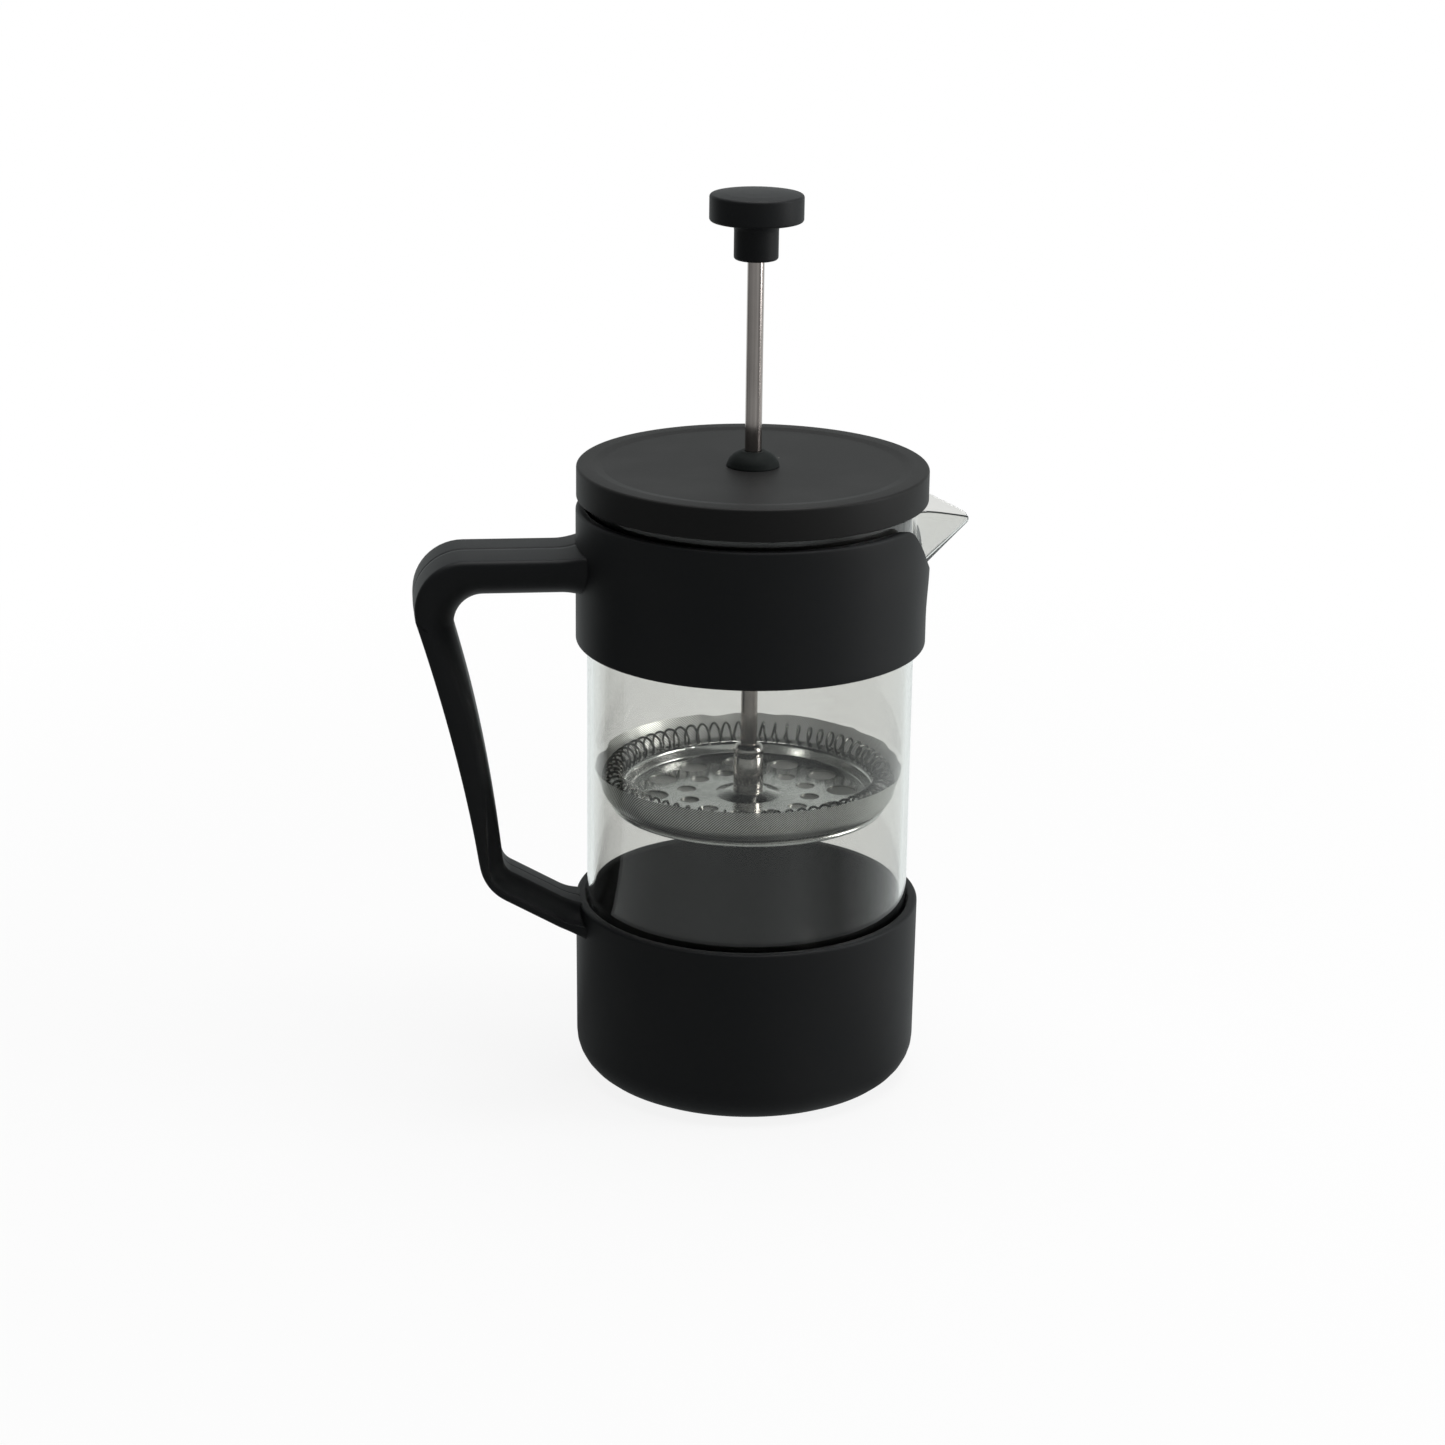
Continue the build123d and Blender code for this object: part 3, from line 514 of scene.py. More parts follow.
# Glass beaker: blown borosilicate with a flat floor, a fire-polished rim and a pulled spout.
# It stands on the base's ribs and lifts out of the frame.
GLASS_OUTER = 45.0 * MM
GLASS_INNER = 43.4 * MM
GLASS_LOW = 5.0 * MM
GLASS_FLOOR = 8.0 * MM
GLASS_RIM = 169.0 * MM
GLASS_RIM_ROUND = 0.7 * MM
GLASS_FOOT_ROUND = 9.0 * MM
SPOUT_LOW = 138.0 * MM
SPOUT_ROWS = 22
SPOUT_NOSE = SPOUT_HALF_SLOPE * SPOUT_NOSE_CUT / (SPOUT_TIP_X - SPOUT_NOSE_CUT)
SPOUT_BLEND = 1.3 * MM
SPOUT_INSET = math.sqrt(1 + 2 * SPOUT_HALF_SLOPE ** 2) / SPOUT_HALF_SLOPE
LIP_SHELF_X = 41.0 * MM
LIP_SHELF_Z = 166.2 * MM
LIP_FALL = math.tan(math.radians(20.5))
NOSE_FRONT = 59.70 * MM
NOSE_STEEP = math.tan(math.radians(80))
NOSE_BLEND = 1.0 * MM
SHELF_BLEND = 1.2 * MM
RIM_BLEND = 0.4 * MM
SPOUT_THINNED = 0.66
THIN_START = 0.72
THIN_FULL = 0.92
SPOUT_MERGE = 6.0 * MM
SPOUT_HALF_ANGLE = math.pi / 3
SPOUT_CROWDING = 0.72
LIP_HALVINGS = 20


def lip_height(x):
    """Height of the rim over x: level, lower under the lid's skirt, then falling to the nose."""
    shelf = LIP_SHELF_Z + max(0, LIP_SHELF_X - x)
    fall = SPOUT_TIP_Z + (SPOUT_TIP_X - x) * LIP_FALL
    front = SPOUT_TIP_Z + (NOSE_FRONT - x) * NOSE_STEEP
    lip = soft_min(shelf, soft_min(fall, front, NOSE_BLEND), SHELF_BLEND)
    return soft_min(GLASS_RIM, lip, RIM_BLEND)


def spout_reach(angle, z, inset):
    """Radius of the wall at this place: the round wall, or the V of the spout where that stands out."""
    nose = SPOUT_TIP_X + SPOUT_NOSE_CUT + z - SPOUT_TIP_Z - inset * SPOUT_INSET
    across = math.hypot(math.sin(angle), SPOUT_NOSE) + SPOUT_HALF_SLOPE * math.cos(angle)
    spout = SPOUT_HALF_SLOPE * nose / across
    wall = GLASS_OUTER - inset
    return -soft_min(-wall, -spout, SPOUT_BLEND) if spout > wall - SPOUT_MERGE else wall


bm = turned([
    (0, GLASS_LOW, 0),
    (GLASS_OUTER, GLASS_LOW, GLASS_FOOT_ROUND),
    (GLASS_OUTER, GLASS_RIM, GLASS_RIM_ROUND),
    (GLASS_INNER, GLASS_RIM, GLASS_RIM_ROUND),
    (GLASS_INNER, GLASS_FLOOR, GLASS_FOOT_ROUND - GLASS_OUTER + GLASS_INNER),
    (0, GLASS_FLOOR, 0),
], steps=320, segments=6)
for row in range(SPOUT_ROWS):
    level = SPOUT_LOW + (GLASS_RIM - GLASS_RIM_ROUND - SPOUT_LOW) * row / SPOUT_ROWS
    bmesh.ops.bisect_plane(
        bm, geom=bm.verts[:] + bm.edges[:] + bm.faces[:], plane_co=(0, 0, level), plane_no=(0, 0, 1),
    )
for vert in bm.verts:
    angle = math.atan2(vert.co.y, vert.co.x)
    angle -= SPOUT_CROWDING * math.sin(angle)
    radius = math.hypot(vert.co.x, vert.co.y)
    z = vert.co.z
    if z > SPOUT_LOW and abs(angle) < SPOUT_HALF_ANGLE:
        thinned = SPOUT_THINNED * smooth(z, SPOUT_LOW, GLASS_RIM)
        thinned *= smooth(math.cos(angle), THIN_START, THIN_FULL)
        inset = (GLASS_OUTER - radius) * (1 - thinned)
        below, top = SPOUT_LOW, GLASS_RIM
        for step in range(LIP_HALVINGS):
            level = (below + top) / 2
            if lip_height(spout_reach(angle, level, inset) * math.cos(angle)) > level:
                below = level
            else:
                top = level
        z = SPOUT_LOW + (z - SPOUT_LOW) * (top - SPOUT_LOW) / (GLASS_RIM - SPOUT_LOW)
        radius = spout_reach(angle, z, inset)
    vert.co = (radius * math.cos(angle), radius * math.sin(angle), z)
bmesh.ops.recalc_face_normals(bm, faces=bm.faces[:])
glass_beaker = as_piece("glass_beaker_blown", bm, 60)
clear_glass, tree, shader = new_finish("clear_glass", {
    "Base Color": (0.785, 0.789, 0.767, 1),
    "Transmission Weight": 1.0,
    "IOR": 1.47,
})
place = add_node(tree, "TexCoord").outputs["Object"]
smear = add_node(tree, "TexNoise", {"Vector": place, "Scale": 38.0, "Detail": 5.0}).outputs["Fac"]
gloss = add_node(
    tree, "MapRange", {"Value": smear, "From Min": 0.64, "From Max": 0.85, "To Max": 0.03},
).outputs["Result"]
tree.links.new(gloss, shader.inputs["Roughness"])
wave = add_node(tree, "TexNoise", {"Vector": place, "Scale": 16.0, "Detail": 1.0}).outputs["Fac"]
relief = add_node(tree, "Bump", {"Height": wave, "Strength": 0.25, "Distance": 0.15 * MM})
tree.links.new(relief.outputs["Normal"], shader.inputs["Normal"])
lamps = add_node(tree, "LightPath").outputs["Is Shadow Ray"]
through = add_node(tree, "BsdfTransparent", {"Color": (0.86, 0.86, 0.85, 1)}).outputs[0]
lit = add_node(tree, "MixShader", {0: lamps, 1: shader.outputs[0], 2: through})
tree.links.new(lit.outputs[0], tree.nodes["Material Output"].inputs["Surface"])
glass_beaker.data.materials.append(clear_glass)
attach(glass_beaker, "beaker")
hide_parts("glass_beaker")


# Lid: a round cap moulded in black plastic, with a faint ring on top and a skirt outside the glass.
# A strainer ring fixed under it centres it in the glass, with a comb of pouring slots.
LID_OUTER = 48.0 * MM
LID_INNER = 45.7 * MM
LID_TOP = 175.7 * MM
LID_UNDER = 173.3 * MM
LID_SKIRT = 166.8 * MM
LID_SEAT = 169.3 * MM
LID_RECESS_RADIUS = 42.2 * MM
LID_RECESS = 0.35 * MM
LID_STEP_HALF = 1.3 * MM
LID_STEP_ROUND = 4.0 * MM
LID_EDGE_ROUND = 0.8 * MM
LID_FOOT_ROUND = 0.5 * MM
LID_INNER_ROUND = 0.4 * MM
LID_SEAT_ROUND = 0.2 * MM
LID_HOLE = 5.0 * MM
lid_plastic = moulded_finish(
    "lid_plastic", plastic=(0.0070, 0.0070, 0.0069), worn=(0.0078, 0.0077, 0.0075),
    roughness=0.56, grains=3000.0, bump=0.45, shine=0.13,
)
bm = turned([
    (LID_HOLE, LID_UNDER, 0),
    (GLASS_INNER, LID_UNDER, 0),
    (GLASS_INNER, LID_SEAT, LID_SEAT_ROUND),
    (LID_INNER, LID_SEAT, LID_INNER_ROUND),
    (LID_INNER, LID_SKIRT, LID_INNER_ROUND),
    (LID_OUTER, LID_SKIRT, LID_FOOT_ROUND),
    (LID_OUTER, LID_TOP, LID_EDGE_ROUND),
    (LID_RECESS_RADIUS + LID_STEP_HALF, LID_TOP, LID_STEP_ROUND),
    (LID_RECESS_RADIUS - LID_STEP_HALF, LID_TOP - LID_RECESS, LID_STEP_ROUND),
    (LID_HOLE, LID_TOP - LID_RECESS, 0),
], steps=240)
lid_shell = as_piece("lid_moulding", bm)
lid_shell.data.materials.append(lid_plastic)
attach(lid_shell, "lid")
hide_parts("lid_shell")


def joined_solid(name, node, crisp=35):
    """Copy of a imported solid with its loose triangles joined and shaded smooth."""
    bm = bmesh.new()
    bm.from_mesh(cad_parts[node].data)
    bmesh.ops.remove_doubles(bm, verts=bm.verts[:], dist=JOIN_GAP)
    return as_piece(name, bm, crisp)


strainer_ring = joined_solid("strainer_ring_moulding", "lid_strainer_ring")
strainer_ring.data.materials.clear()
strainer_ring.data.materials.append(lid_plastic)
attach(strainer_ring, "lid")
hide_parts("lid_strainer_ring")


# Rod guide: a small domed bush of greyer plastic, snapped into the lid's hole.
# It keeps the rod upright and is where the knob comes to rest.
GUIDE_BORE = 2.35 * MM
GUIDE_SEAT = 175.4 * MM
GUIDE_TOP = 179.6 * MM
GUIDE_MOUTH = 3.3 * MM
GUIDE_RADIUS = 7.3 * MM
GUIDE_SHOULDER = 6.3 * MM
GUIDE_SHOULDER_Z = 178.2 * MM
GUIDE_NECK = 4.95 * MM
GUIDE_CLIP = 6.35 * MM
GUIDE_CLIP_LOW = 170.9 * MM
GUIDE_CLIP_TOP = 173.1 * MM
GUIDE_CLIP_ROUNDS = (0.4 * MM, 0.3 * MM)
GUIDE_FOOT_ROUND = 0.15 * MM
GUIDE_DOME_ROUND = 4.0 * MM
GUIDE_TOP_ROUND = 0.8 * MM
GUIDE_BORE_ROUND = 0.2 * MM
guide_plastic = moulded_finish(
    "guide_plastic", plastic=(0.0075, 0.0092, 0.0088), worn=(0.0085, 0.0100, 0.0096),
    roughness=0.62, grains=4200.0, bump=0.15, shine=0.06,
)
bm = turned([
    (GUIDE_BORE, GUIDE_CLIP_LOW, 0),
    (GUIDE_CLIP, GUIDE_CLIP_LOW, GUIDE_CLIP_ROUNDS[0]),
    (GUIDE_CLIP, GUIDE_CLIP_TOP, GUIDE_CLIP_ROUNDS[1]),
    (GUIDE_NECK, GUIDE_CLIP_TOP, 0),
    (GUIDE_NECK, GUIDE_SEAT, 0),
    (GUIDE_RADIUS, GUIDE_SEAT, GUIDE_FOOT_ROUND),
    (GUIDE_SHOULDER, GUIDE_SHOULDER_Z, GUIDE_DOME_ROUND),
    (GUIDE_MOUTH, GUIDE_TOP, GUIDE_TOP_ROUND),
    (GUIDE_BORE, GUIDE_TOP, GUIDE_BORE_ROUND),
], steps=120)
rod_guide = as_piece("rod_guide_moulding", bm)
rod_guide.data.materials.append(guide_plastic)
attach(rod_guide, "guide")
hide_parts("rod_guide")


# Knob: a flat black button with a low crown on a short neck, moulded round a threaded brass sleeve.
# The sleeve screws on to the top of the rod.
KNOB_RADIUS = 12.65 * MM
KNOB_LOW = 231.8 * MM
KNOB_DISC = 242.0 * MM
KNOB_EDGE = 249.2 * MM
KNOB_CROWN = 249.9 * MM
KNOB_CROWN_FALLS = (0.08 * MM, 0.31 * MM)
KNOB_CROWN_ROUND = 2.0 * MM
KNOB_EDGE_ROUND = 0.8 * MM
KNOB_NECK = 6.0 * MM
KNOB_NECK_ROUND = 2.4 * MM
KNOB_FOOT_ROUND = 0.8 * MM
SLEEVE_LOW = 232.3 * MM
SLEEVE_RADIUS = 3.6 * MM
SLEEVE_TOP = 243.3 * MM
bm = turned([
    (0, KNOB_CROWN, 0),
    (KNOB_RADIUS / 3, KNOB_CROWN - KNOB_CROWN_FALLS[0], KNOB_CROWN_ROUND),
    (KNOB_RADIUS * 2 / 3, KNOB_CROWN - KNOB_CROWN_FALLS[1], KNOB_CROWN_ROUND),
    (KNOB_RADIUS, KNOB_EDGE, KNOB_EDGE_ROUND),
    (KNOB_RADIUS, KNOB_DISC, KNOB_EDGE_ROUND),
    (KNOB_NECK, KNOB_DISC, KNOB_NECK_ROUND),
    (KNOB_NECK, KNOB_LOW, KNOB_FOOT_ROUND),
    (GUIDE_BORE, KNOB_LOW, 0),
    (GUIDE_BORE, SLEEVE_LOW, 0),
    (SLEEVE_RADIUS, SLEEVE_LOW, 0),
    (SLEEVE_RADIUS, SLEEVE_TOP, 0),
    (0, SLEEVE_TOP, 0),
], steps=120)
knob = as_piece("knob_moulding", bm)
knob.data.materials.append(black_plastic)
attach(knob, "plunger")
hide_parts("knob")

insert_brass, tree, shader = new_finish("insert_brass", {"Metallic": 1.0, "Roughness": 0.35})
place = add_node(tree, "TexCoord").outputs["Object"]
marks = add_node(tree, "TexNoise", {"Vector": place, "Scale": 900.0, "Detail": 3.0}).outputs["Fac"]
tone = add_node(
    tree, "Mix", {0: marks, 6: (0.66, 0.47, 0.20, 1), 7: (0.80, 0.61, 0.31, 1)}, data_type="RGBA",
).outputs[2]
tree.links.new(tone, shader.inputs["Base Color"])
knob_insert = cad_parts["knob_insert"]
knob_insert.data.materials.clear()
knob_insert.data.materials.append(insert_brass)


# Plunger rod and ferrule: bright stainless rod, ground along its length, with a turned sleeve
# pressed on its lower end that takes the filter's stud.
ROD_RADIUS = 2.3 * MM
ROD_LOW = 88.9 * MM
THREAD_RADIUS = 2.0 * MM
FERRULE_RADIUS = 4.2 * MM
FERRULE_LOW = 82.5 * MM
FERRULE_TOP = 96.0 * MM
FERRULE_FOOT_ROUND = 0.25 * MM
FERRULE_SHOULDER_ROUND = 1.8 * MM
FERRULE_MOUTH_ROUND = 0.3 * MM
GROOVE_MIDDLE = 92.5 * MM
GROOVE_HALF = 0.2 * MM
GROOVE_DEPTH = 0.12 * MM
STUD_ROOM = 2.55 * MM
SMEARS_PER_METRE = 90.0
POLISH_DEPTH = 0.02 * MM


def polished_marks():
    """Shader group for polished steel: fine grinding lines, and dull smears where it was handled."""
    tree = bpy.data.node_groups.new("polished_marks", "ShaderNodeTree")
    for name, kind in (
        ("Stretch", "NodeSocketVector"),
        ("Bright", "NodeSocketColor"),
        ("Dull", "NodeSocketColor"),
        ("Smooth", "NodeSocketFloat"),
        ("Rough", "NodeSocketFloat"),
    ):
        tree.interface.new_socket(name, in_out="INPUT", socket_type=kind)
    for name, kind in (
        ("Color", "NodeSocketColor"),
        ("Roughness", "NodeSocketFloat"),
        ("Height", "NodeSocketFloat"),
    ):
        tree.interface.new_socket(name, in_out="OUTPUT", socket_type=kind)
    given = tree.nodes.new("NodeGroupInput").outputs
    result = tree.nodes.new("NodeGroupOutput").inputs
    place = add_node(tree, "TexCoord").outputs["Object"]
    drawn = add_node(
        tree, "VectorMath", {0: place, 1: given["Stretch"]}, operation="MULTIPLY",
    ).outputs[0]
    lines = add_node(tree, "TexNoise", {"Vector": drawn, "Scale": 1.0, "Detail": 3.0}).outputs["Fac"]
    smear = add_node(
        tree, "TexNoise", {"Vector": place, "Scale": SMEARS_PER_METRE, "Detail": 4.0},
    ).outputs["Fac"]
    both = add_node(tree, "Math", {0: lines, 1: smear}, operation="MULTIPLY").outputs[0]
    share = add_node(
        tree, "MapRange", {"Value": both, "From Min": 0.12, "From Max": 0.42},
    ).outputs["Result"]
    colour = add_node(tree, "Mix", {0: share, 6: given["Bright"], 7: given["Dull"]}, data_type="RGBA")
    tree.links.new(colour.outputs[2], result["Color"])
    rough = add_node(
        tree, "MapRange", {"Value": share, "To Min": given["Smooth"], "To Max": given["Rough"]},
    )
    tree.links.new(rough.outputs["Result"], result["Roughness"])
    tree.links.new(lines, result["Height"])
    return tree


def steel_finish(name, bright, dull, fine, rough, stretch, bump):
    """Stainless steel with the shared polishing marks, drawn out along one direction by stretch."""
    made, tree, shader = new_finish(name, {"Metallic": 1.0})
    group = tree.nodes.new("ShaderNodeGroup")
    group.node_tree = polish_group
    for socket, value in (
        ("Stretch", stretch),
        ("Bright", (*bright, 1)),
        ("Dull", (*dull, 1)),
        ("Smooth", fine),
        ("Rough", rough),
    ):
        group.inputs[socket].default_value = value
    tree.links.new(group.outputs["Color"], shader.inputs["Base Color"])
    tree.links.new(group.outputs["Roughness"], shader.inputs["Roughness"])
    relief = add_node(
        tree, "Bump", {"Height": group.outputs["Height"], "Strength": bump, "Distance": POLISH_DEPTH},
    )
    tree.links.new(relief.outputs["Normal"], shader.inputs["Normal"])
    return made


polish_group = polished_marks()
# The rod's colour is darker and warmer than bare stainless: painted shade and a painted warm reflection.
rod_steel = steel_finish(
    "rod_steel", bright=(0.40, 0.355, 0.335), dull=(0.32, 0.285, 0.27), fine=0.08, rough=0.20,
    stretch=(5000, 5000, 60), bump=0.03,
)
bm = turned([
    (0, ROD_LOW, 0),
    (ROD_RADIUS, ROD_LOW, 0),
    (ROD_RADIUS, SLEEVE_LOW, 0),
    (THREAD_RADIUS, SLEEVE_LOW, 0),
    (THREAD_RADIUS, SLEEVE_TOP, 0),
    (0, SLEEVE_TOP, 0),
], steps=64)
plunger_rod = as_piece("plunger_rod_ground", bm)
plunger_rod.data.materials.append(rod_steel)
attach(plunger_rod, "plunger")
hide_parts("plunger_rod")

ferrule_steel = steel_finish(
    "ferrule_steel", bright=(0.58, 0.55, 0.53), dull=(0.46, 0.44, 0.42), fine=0.10, rough=0.20,
    stretch=(700, 700, 3000), bump=0.03,
)
bm = turned([
    (STUD_ROOM, FERRULE_LOW, 0),
    (FERRULE_RADIUS, FERRULE_LOW, FERRULE_FOOT_ROUND),
    (FERRULE_RADIUS, GROOVE_MIDDLE - GROOVE_HALF, 0),
    (FERRULE_RADIUS - GROOVE_DEPTH, GROOVE_MIDDLE, 0),
    (FERRULE_RADIUS, GROOVE_MIDDLE + GROOVE_HALF, 0),
    (FERRULE_RADIUS, FERRULE_TOP, FERRULE_SHOULDER_ROUND),
    (ROD_RADIUS, FERRULE_TOP, FERRULE_MOUTH_ROUND),
    (ROD_RADIUS, ROD_LOW, 0),
    (STUD_ROOM, ROD_LOW, 0),
], steps=96)
rod_ferrule = as_piece("rod_ferrule_turned", bm)
rod_ferrule.data.materials.append(ferrule_steel)
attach(rod_ferrule, "plunger")
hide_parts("rod_ferrule")


# Filter plate, cross plate and stud: pressed and polished stainless sheet, stacked with the screen
# between them and clamped to the ferrule by the stud from below.
plate_steel = steel_finish(
    "plate_steel", bright=(0.72, 0.72, 0.705), dull=(0.56, 0.56, 0.55), fine=0.12, rough=0.24,
    stretch=(700, 700, 700), bump=0.05,
)
for name, node in (
    ("spiral_plate_pressed", "spiral_plate"),
    ("cross_plate_pressed", "cross_plate"),
    ("clamp_stud_turned", "clamp_stud"),
):
    sheet = joined_solid(name, node)
    sheet.data.materials.clear()
    sheet.data.materials.append(plate_steel)
    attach(sheet, "filter")
    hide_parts(node)


# Filter spring: one bright steel wire coiled round the plate's flange, down its edge and up its holes.
# It presses the screen's rim outwards.
SPRING_TURNS = 66
SPRING_RING = 37.9 * MM
SPRING_MIDDLE = 86.55 * MM
COIL_RADIUS = 2.75 * MM
WIRE = 0.7 * MM
STEPS_PER_TURN = 28
# The wire's colour is far darker than bright steel: painted shade on the coils.
spring_steel = steel_finish(
    "spring_steel", bright=(0.24, 0.24, 0.23), dull=(0.16, 0.16, 0.15), fine=0.14, rough=0.28,
    stretch=(1500, 1500, 1500), bump=0.05,
)
line = bpy.data.curves.new("filter_spring_line", "CURVE")
line.dimensions = "3D"
line.bevel_depth = WIRE / 2
line.bevel_resolution = 3
line.use_fill_caps = True
wire = line.splines.new("POLY")
wire.points.add(SPRING_TURNS * STEPS_PER_TURN)
for index, point in enumerate(wire.points):
    turn = index / STEPS_PER_TURN
    coil = math.pi - 2 * math.pi * turn
    around = 2 * math.pi * turn / (SPRING_TURNS + 1)
    reach = SPRING_RING + COIL_RADIUS * math.cos(coil)
    height = SPRING_MIDDLE + COIL_RADIUS * math.sin(coil)
    point.co = (reach * math.cos(around), reach * math.sin(around), height, 1)
coiled = bpy.data.objects.new("filter_spring_line", line)
bpy.context.scene.collection.objects.link(coiled)
bpy.context.view_layer.update()
mesh = bpy.data.meshes.new_from_object(coiled.evaluated_get(bpy.context.evaluated_depsgraph_get()))
bpy.data.objects.remove(coiled)
bm = bmesh.new()
bm.from_mesh(mesh)
filter_spring = as_piece("filter_spring_coiled", bm, 60)
filter_spring.data.materials.clear()
filter_spring.data.materials.append(spring_steel)
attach(filter_spring, "filter")
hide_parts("filter_spring")


# Screen: fine stainless weave, flat between the plates and turned up round the spring to the glass.
# Its cut rim is a little wavy where the spring pushes it out.
SCREEN_BORE = 2.6 * MM
SCREEN_FLOOR = 80.65 * MM
SCREEN_MIDDLE = 20.0 * MM
SCREEN_FLAT = 37.1 * MM
SCREEN_BEND = (39.7 * MM, 82.0 * MM)
SCREEN_WALL = (40.9 * MM, 84.2 * MM)
SCREEN_BELLY = 41.4 * MM
SCREEN_BELLY_Z = 86.5 * MM
SCREEN_LIP_START = (41.9 * MM, 87.9 * MM)
SCREEN_LIP = (42.4 * MM, 89.3 * MM)
SCREEN_RIM = 42.95 * MM
SCREEN_RIM_Z = 90.75 * MM
SCREEN_SHEET = 0.1 * MM
WEAVE = 0.62 * MM
WEAVE_TURN = math.radians(38)
RIM_WAVES = ((5, 0.30, 0.4), (11, 0.22, 1.9), (17, 0.16, 4.4), (29, 0.08, 2.7))
RIM_LEAN = 0.5
RIM_DROP = 0.6
bm = bmesh.new()
side = [
    (SCREEN_BORE, SCREEN_FLOOR),
    (SCREEN_MIDDLE, SCREEN_FLOOR),
    (SCREEN_FLAT, SCREEN_FLOOR),
    SCREEN_BEND,
    SCREEN_WALL,
    (SCREEN_BELLY, SCREEN_BELLY_Z),
    SCREEN_LIP_START,
    SCREEN_LIP,
    (SCREEN_RIM, SCREEN_RIM_Z),
]
line = [bm.verts.new((radius, 0, z)) for radius, z in side]
for start, end in zip(line, line[1:]):
    bm.edges.new((start, end))
bmesh.ops.spin(
    bm, geom=bm.verts[:] + bm.edges[:], cent=(0, 0, 0), axis=(0, 0, 1), angle=2 * math.pi, steps=288,
    use_merge=True,
)
bmesh.ops.remove_doubles(bm, verts=bm.verts[:], dist=JOIN_GAP)
bmesh.ops.recalc_face_normals(bm, faces=bm.faces[:])
weave_map = bm.loops.layers.uv.new("weave")
for face in bm.faces:
    middle = face.calc_center_median()
    centre = math.atan2(middle.y, middle.x)
    for loop in face.loops:
        at = loop.vert.co
        angle = math.atan2(at.y, at.x)
        angle = centre + math.remainder(angle - centre, 2 * math.pi)
        radius = math.hypot(at.x, at.y)
        if at.z < SCREEN_FLOOR + SCREEN_SHEET:
            loop[weave_map].uv = (at.x / WEAVE, at.y / WEAVE)
        else:
            loop[weave_map].uv = (angle * SCREEN_BELLY / WEAVE, (radius - SCREEN_FLAT + at.z) / WEAVE)
for vert in bm.verts:
    share = (vert.co.z - SCREEN_BELLY_Z) / (SCREEN_RIM_Z - SCREEN_BELLY_Z)
    if share > 0:
        angle = math.atan2(vert.co.y, vert.co.x)
        wave = sum(size * math.sin(count * angle + start) for count, size, start in RIM_WAVES)
        inward = (abs(wave) + RIM_LEAN * wave) * share * MM
        radius = math.hypot(vert.co.x, vert.co.y)
        vert.co.x *= 1 - inward / radius
        vert.co.y *= 1 - inward / radius
        vert.co.z -= RIM_DROP * inward
bmesh.ops.solidify(bm, geom=bm.faces[:], thickness=SCREEN_SHEET)
screen = as_piece("mesh_screen_woven", bm, 60)
mesh_steel, tree, shader = new_finish("mesh_steel", {"Metallic": 1.0, "Roughness": 0.32})
threads = add_node(tree, "UVMap", uv_map="weave").outputs["UV"]
turned_weave = add_node(
    tree, "Mapping", {"Vector": threads, "Rotation": (0, 0, WEAVE_TURN)},
).outputs["Vector"]
across = add_node(tree, "SeparateXYZ", {"Vector": turned_weave})
waves = []
for axis in ("X", "Y"):
    phase = add_node(
        tree, "Math", {0: across.outputs[axis], 1: 2 * math.pi}, operation="MULTIPLY",
    ).outputs[0]
    swing = add_node(tree, "Math", {0: phase}, operation="SINE").outputs[0]
    waves.append(swing)
warp = add_node(
    tree, "MapRange", {"Value": waves[0], "From Min": -0.4, "From Max": 0.5},
).outputs["Result"]
weft = add_node(
    tree, "MapRange", {"Value": waves[1], "From Min": 0.0, "From Max": 0.7},
).outputs["Result"]
cover = add_node(tree, "Math", {0: warp, 1: weft}, operation="MAXIMUM").outputs[0]
tone = add_node(
    tree, "Mix", {0: warp, 6: (0.20, 0.20, 0.192, 1), 7: (0.80, 0.80, 0.765, 1)}, data_type="RGBA",
).outputs[2]
tree.links.new(tone, shader.inputs["Base Color"])
solid = add_node(tree, "MapRange", {"Value": cover, "To Min": 0.25, "To Max": 0.95}).outputs["Result"]
tree.links.new(solid, shader.inputs["Alpha"])
relief = add_node(tree, "Bump", {"Height": cover, "Strength": 0.5, "Distance": 0.1 * MM})
tree.links.new(relief.outputs["Normal"], shader.inputs["Normal"])
screen.data.materials.append(mesh_steel)
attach(screen, "filter")
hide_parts("mesh_screen")


# Studio: a pale floor that keeps a soft shadow and fades to white, and soft boxes overhead and right.
# Camera, mirrored and refracted rays all meet a white backdrop. For mirrored rays it is toned by
# direction, as by grey screens out of the picture, so that shiny pieces show their shape.
FLOOR_HALF = 7.0
FLOOR_GLOW = 0.88
FLOOR_FADE_START = 0.12
FLOOR_FADE_END = 0.55
FLOOR_GREY = 0.55
ROOM_LIGHT = 0.18
OVERHEAD_START = 0.25
OVERHEAD_FULL = 0.55
LAMP_AIM = (0, 0, 0.11)
BACKDROP_TONES = (
    (0.00, 0.95), (0.12, 1.00), (0.17, 0.16), (0.22, 0.36), (0.31, 0.36), (0.40, 0.46), (0.50, 0.46),
    (0.57, 0.60), (0.65, 0.32), (0.75, 0.80), (0.88, 1.00), (1.00, 0.95),
)
BACKDROP_TINT = (0.95, 1.0, 1.0)


def meets_backdrop(tree, path):
    """One for a ray from the camera, a mirroring surface or glass, and nought for any other."""
    plain = add_node(
        tree, "Math", {0: path["Is Camera Ray"], 1: path["Is Transmission Ray"]}, operation="MAXIMUM",
    ).outputs[0]
    return add_node(tree, "Math", {0: plain, 1: path["Is Glossy Ray"]}, operation="MAXIMUM").outputs[0]


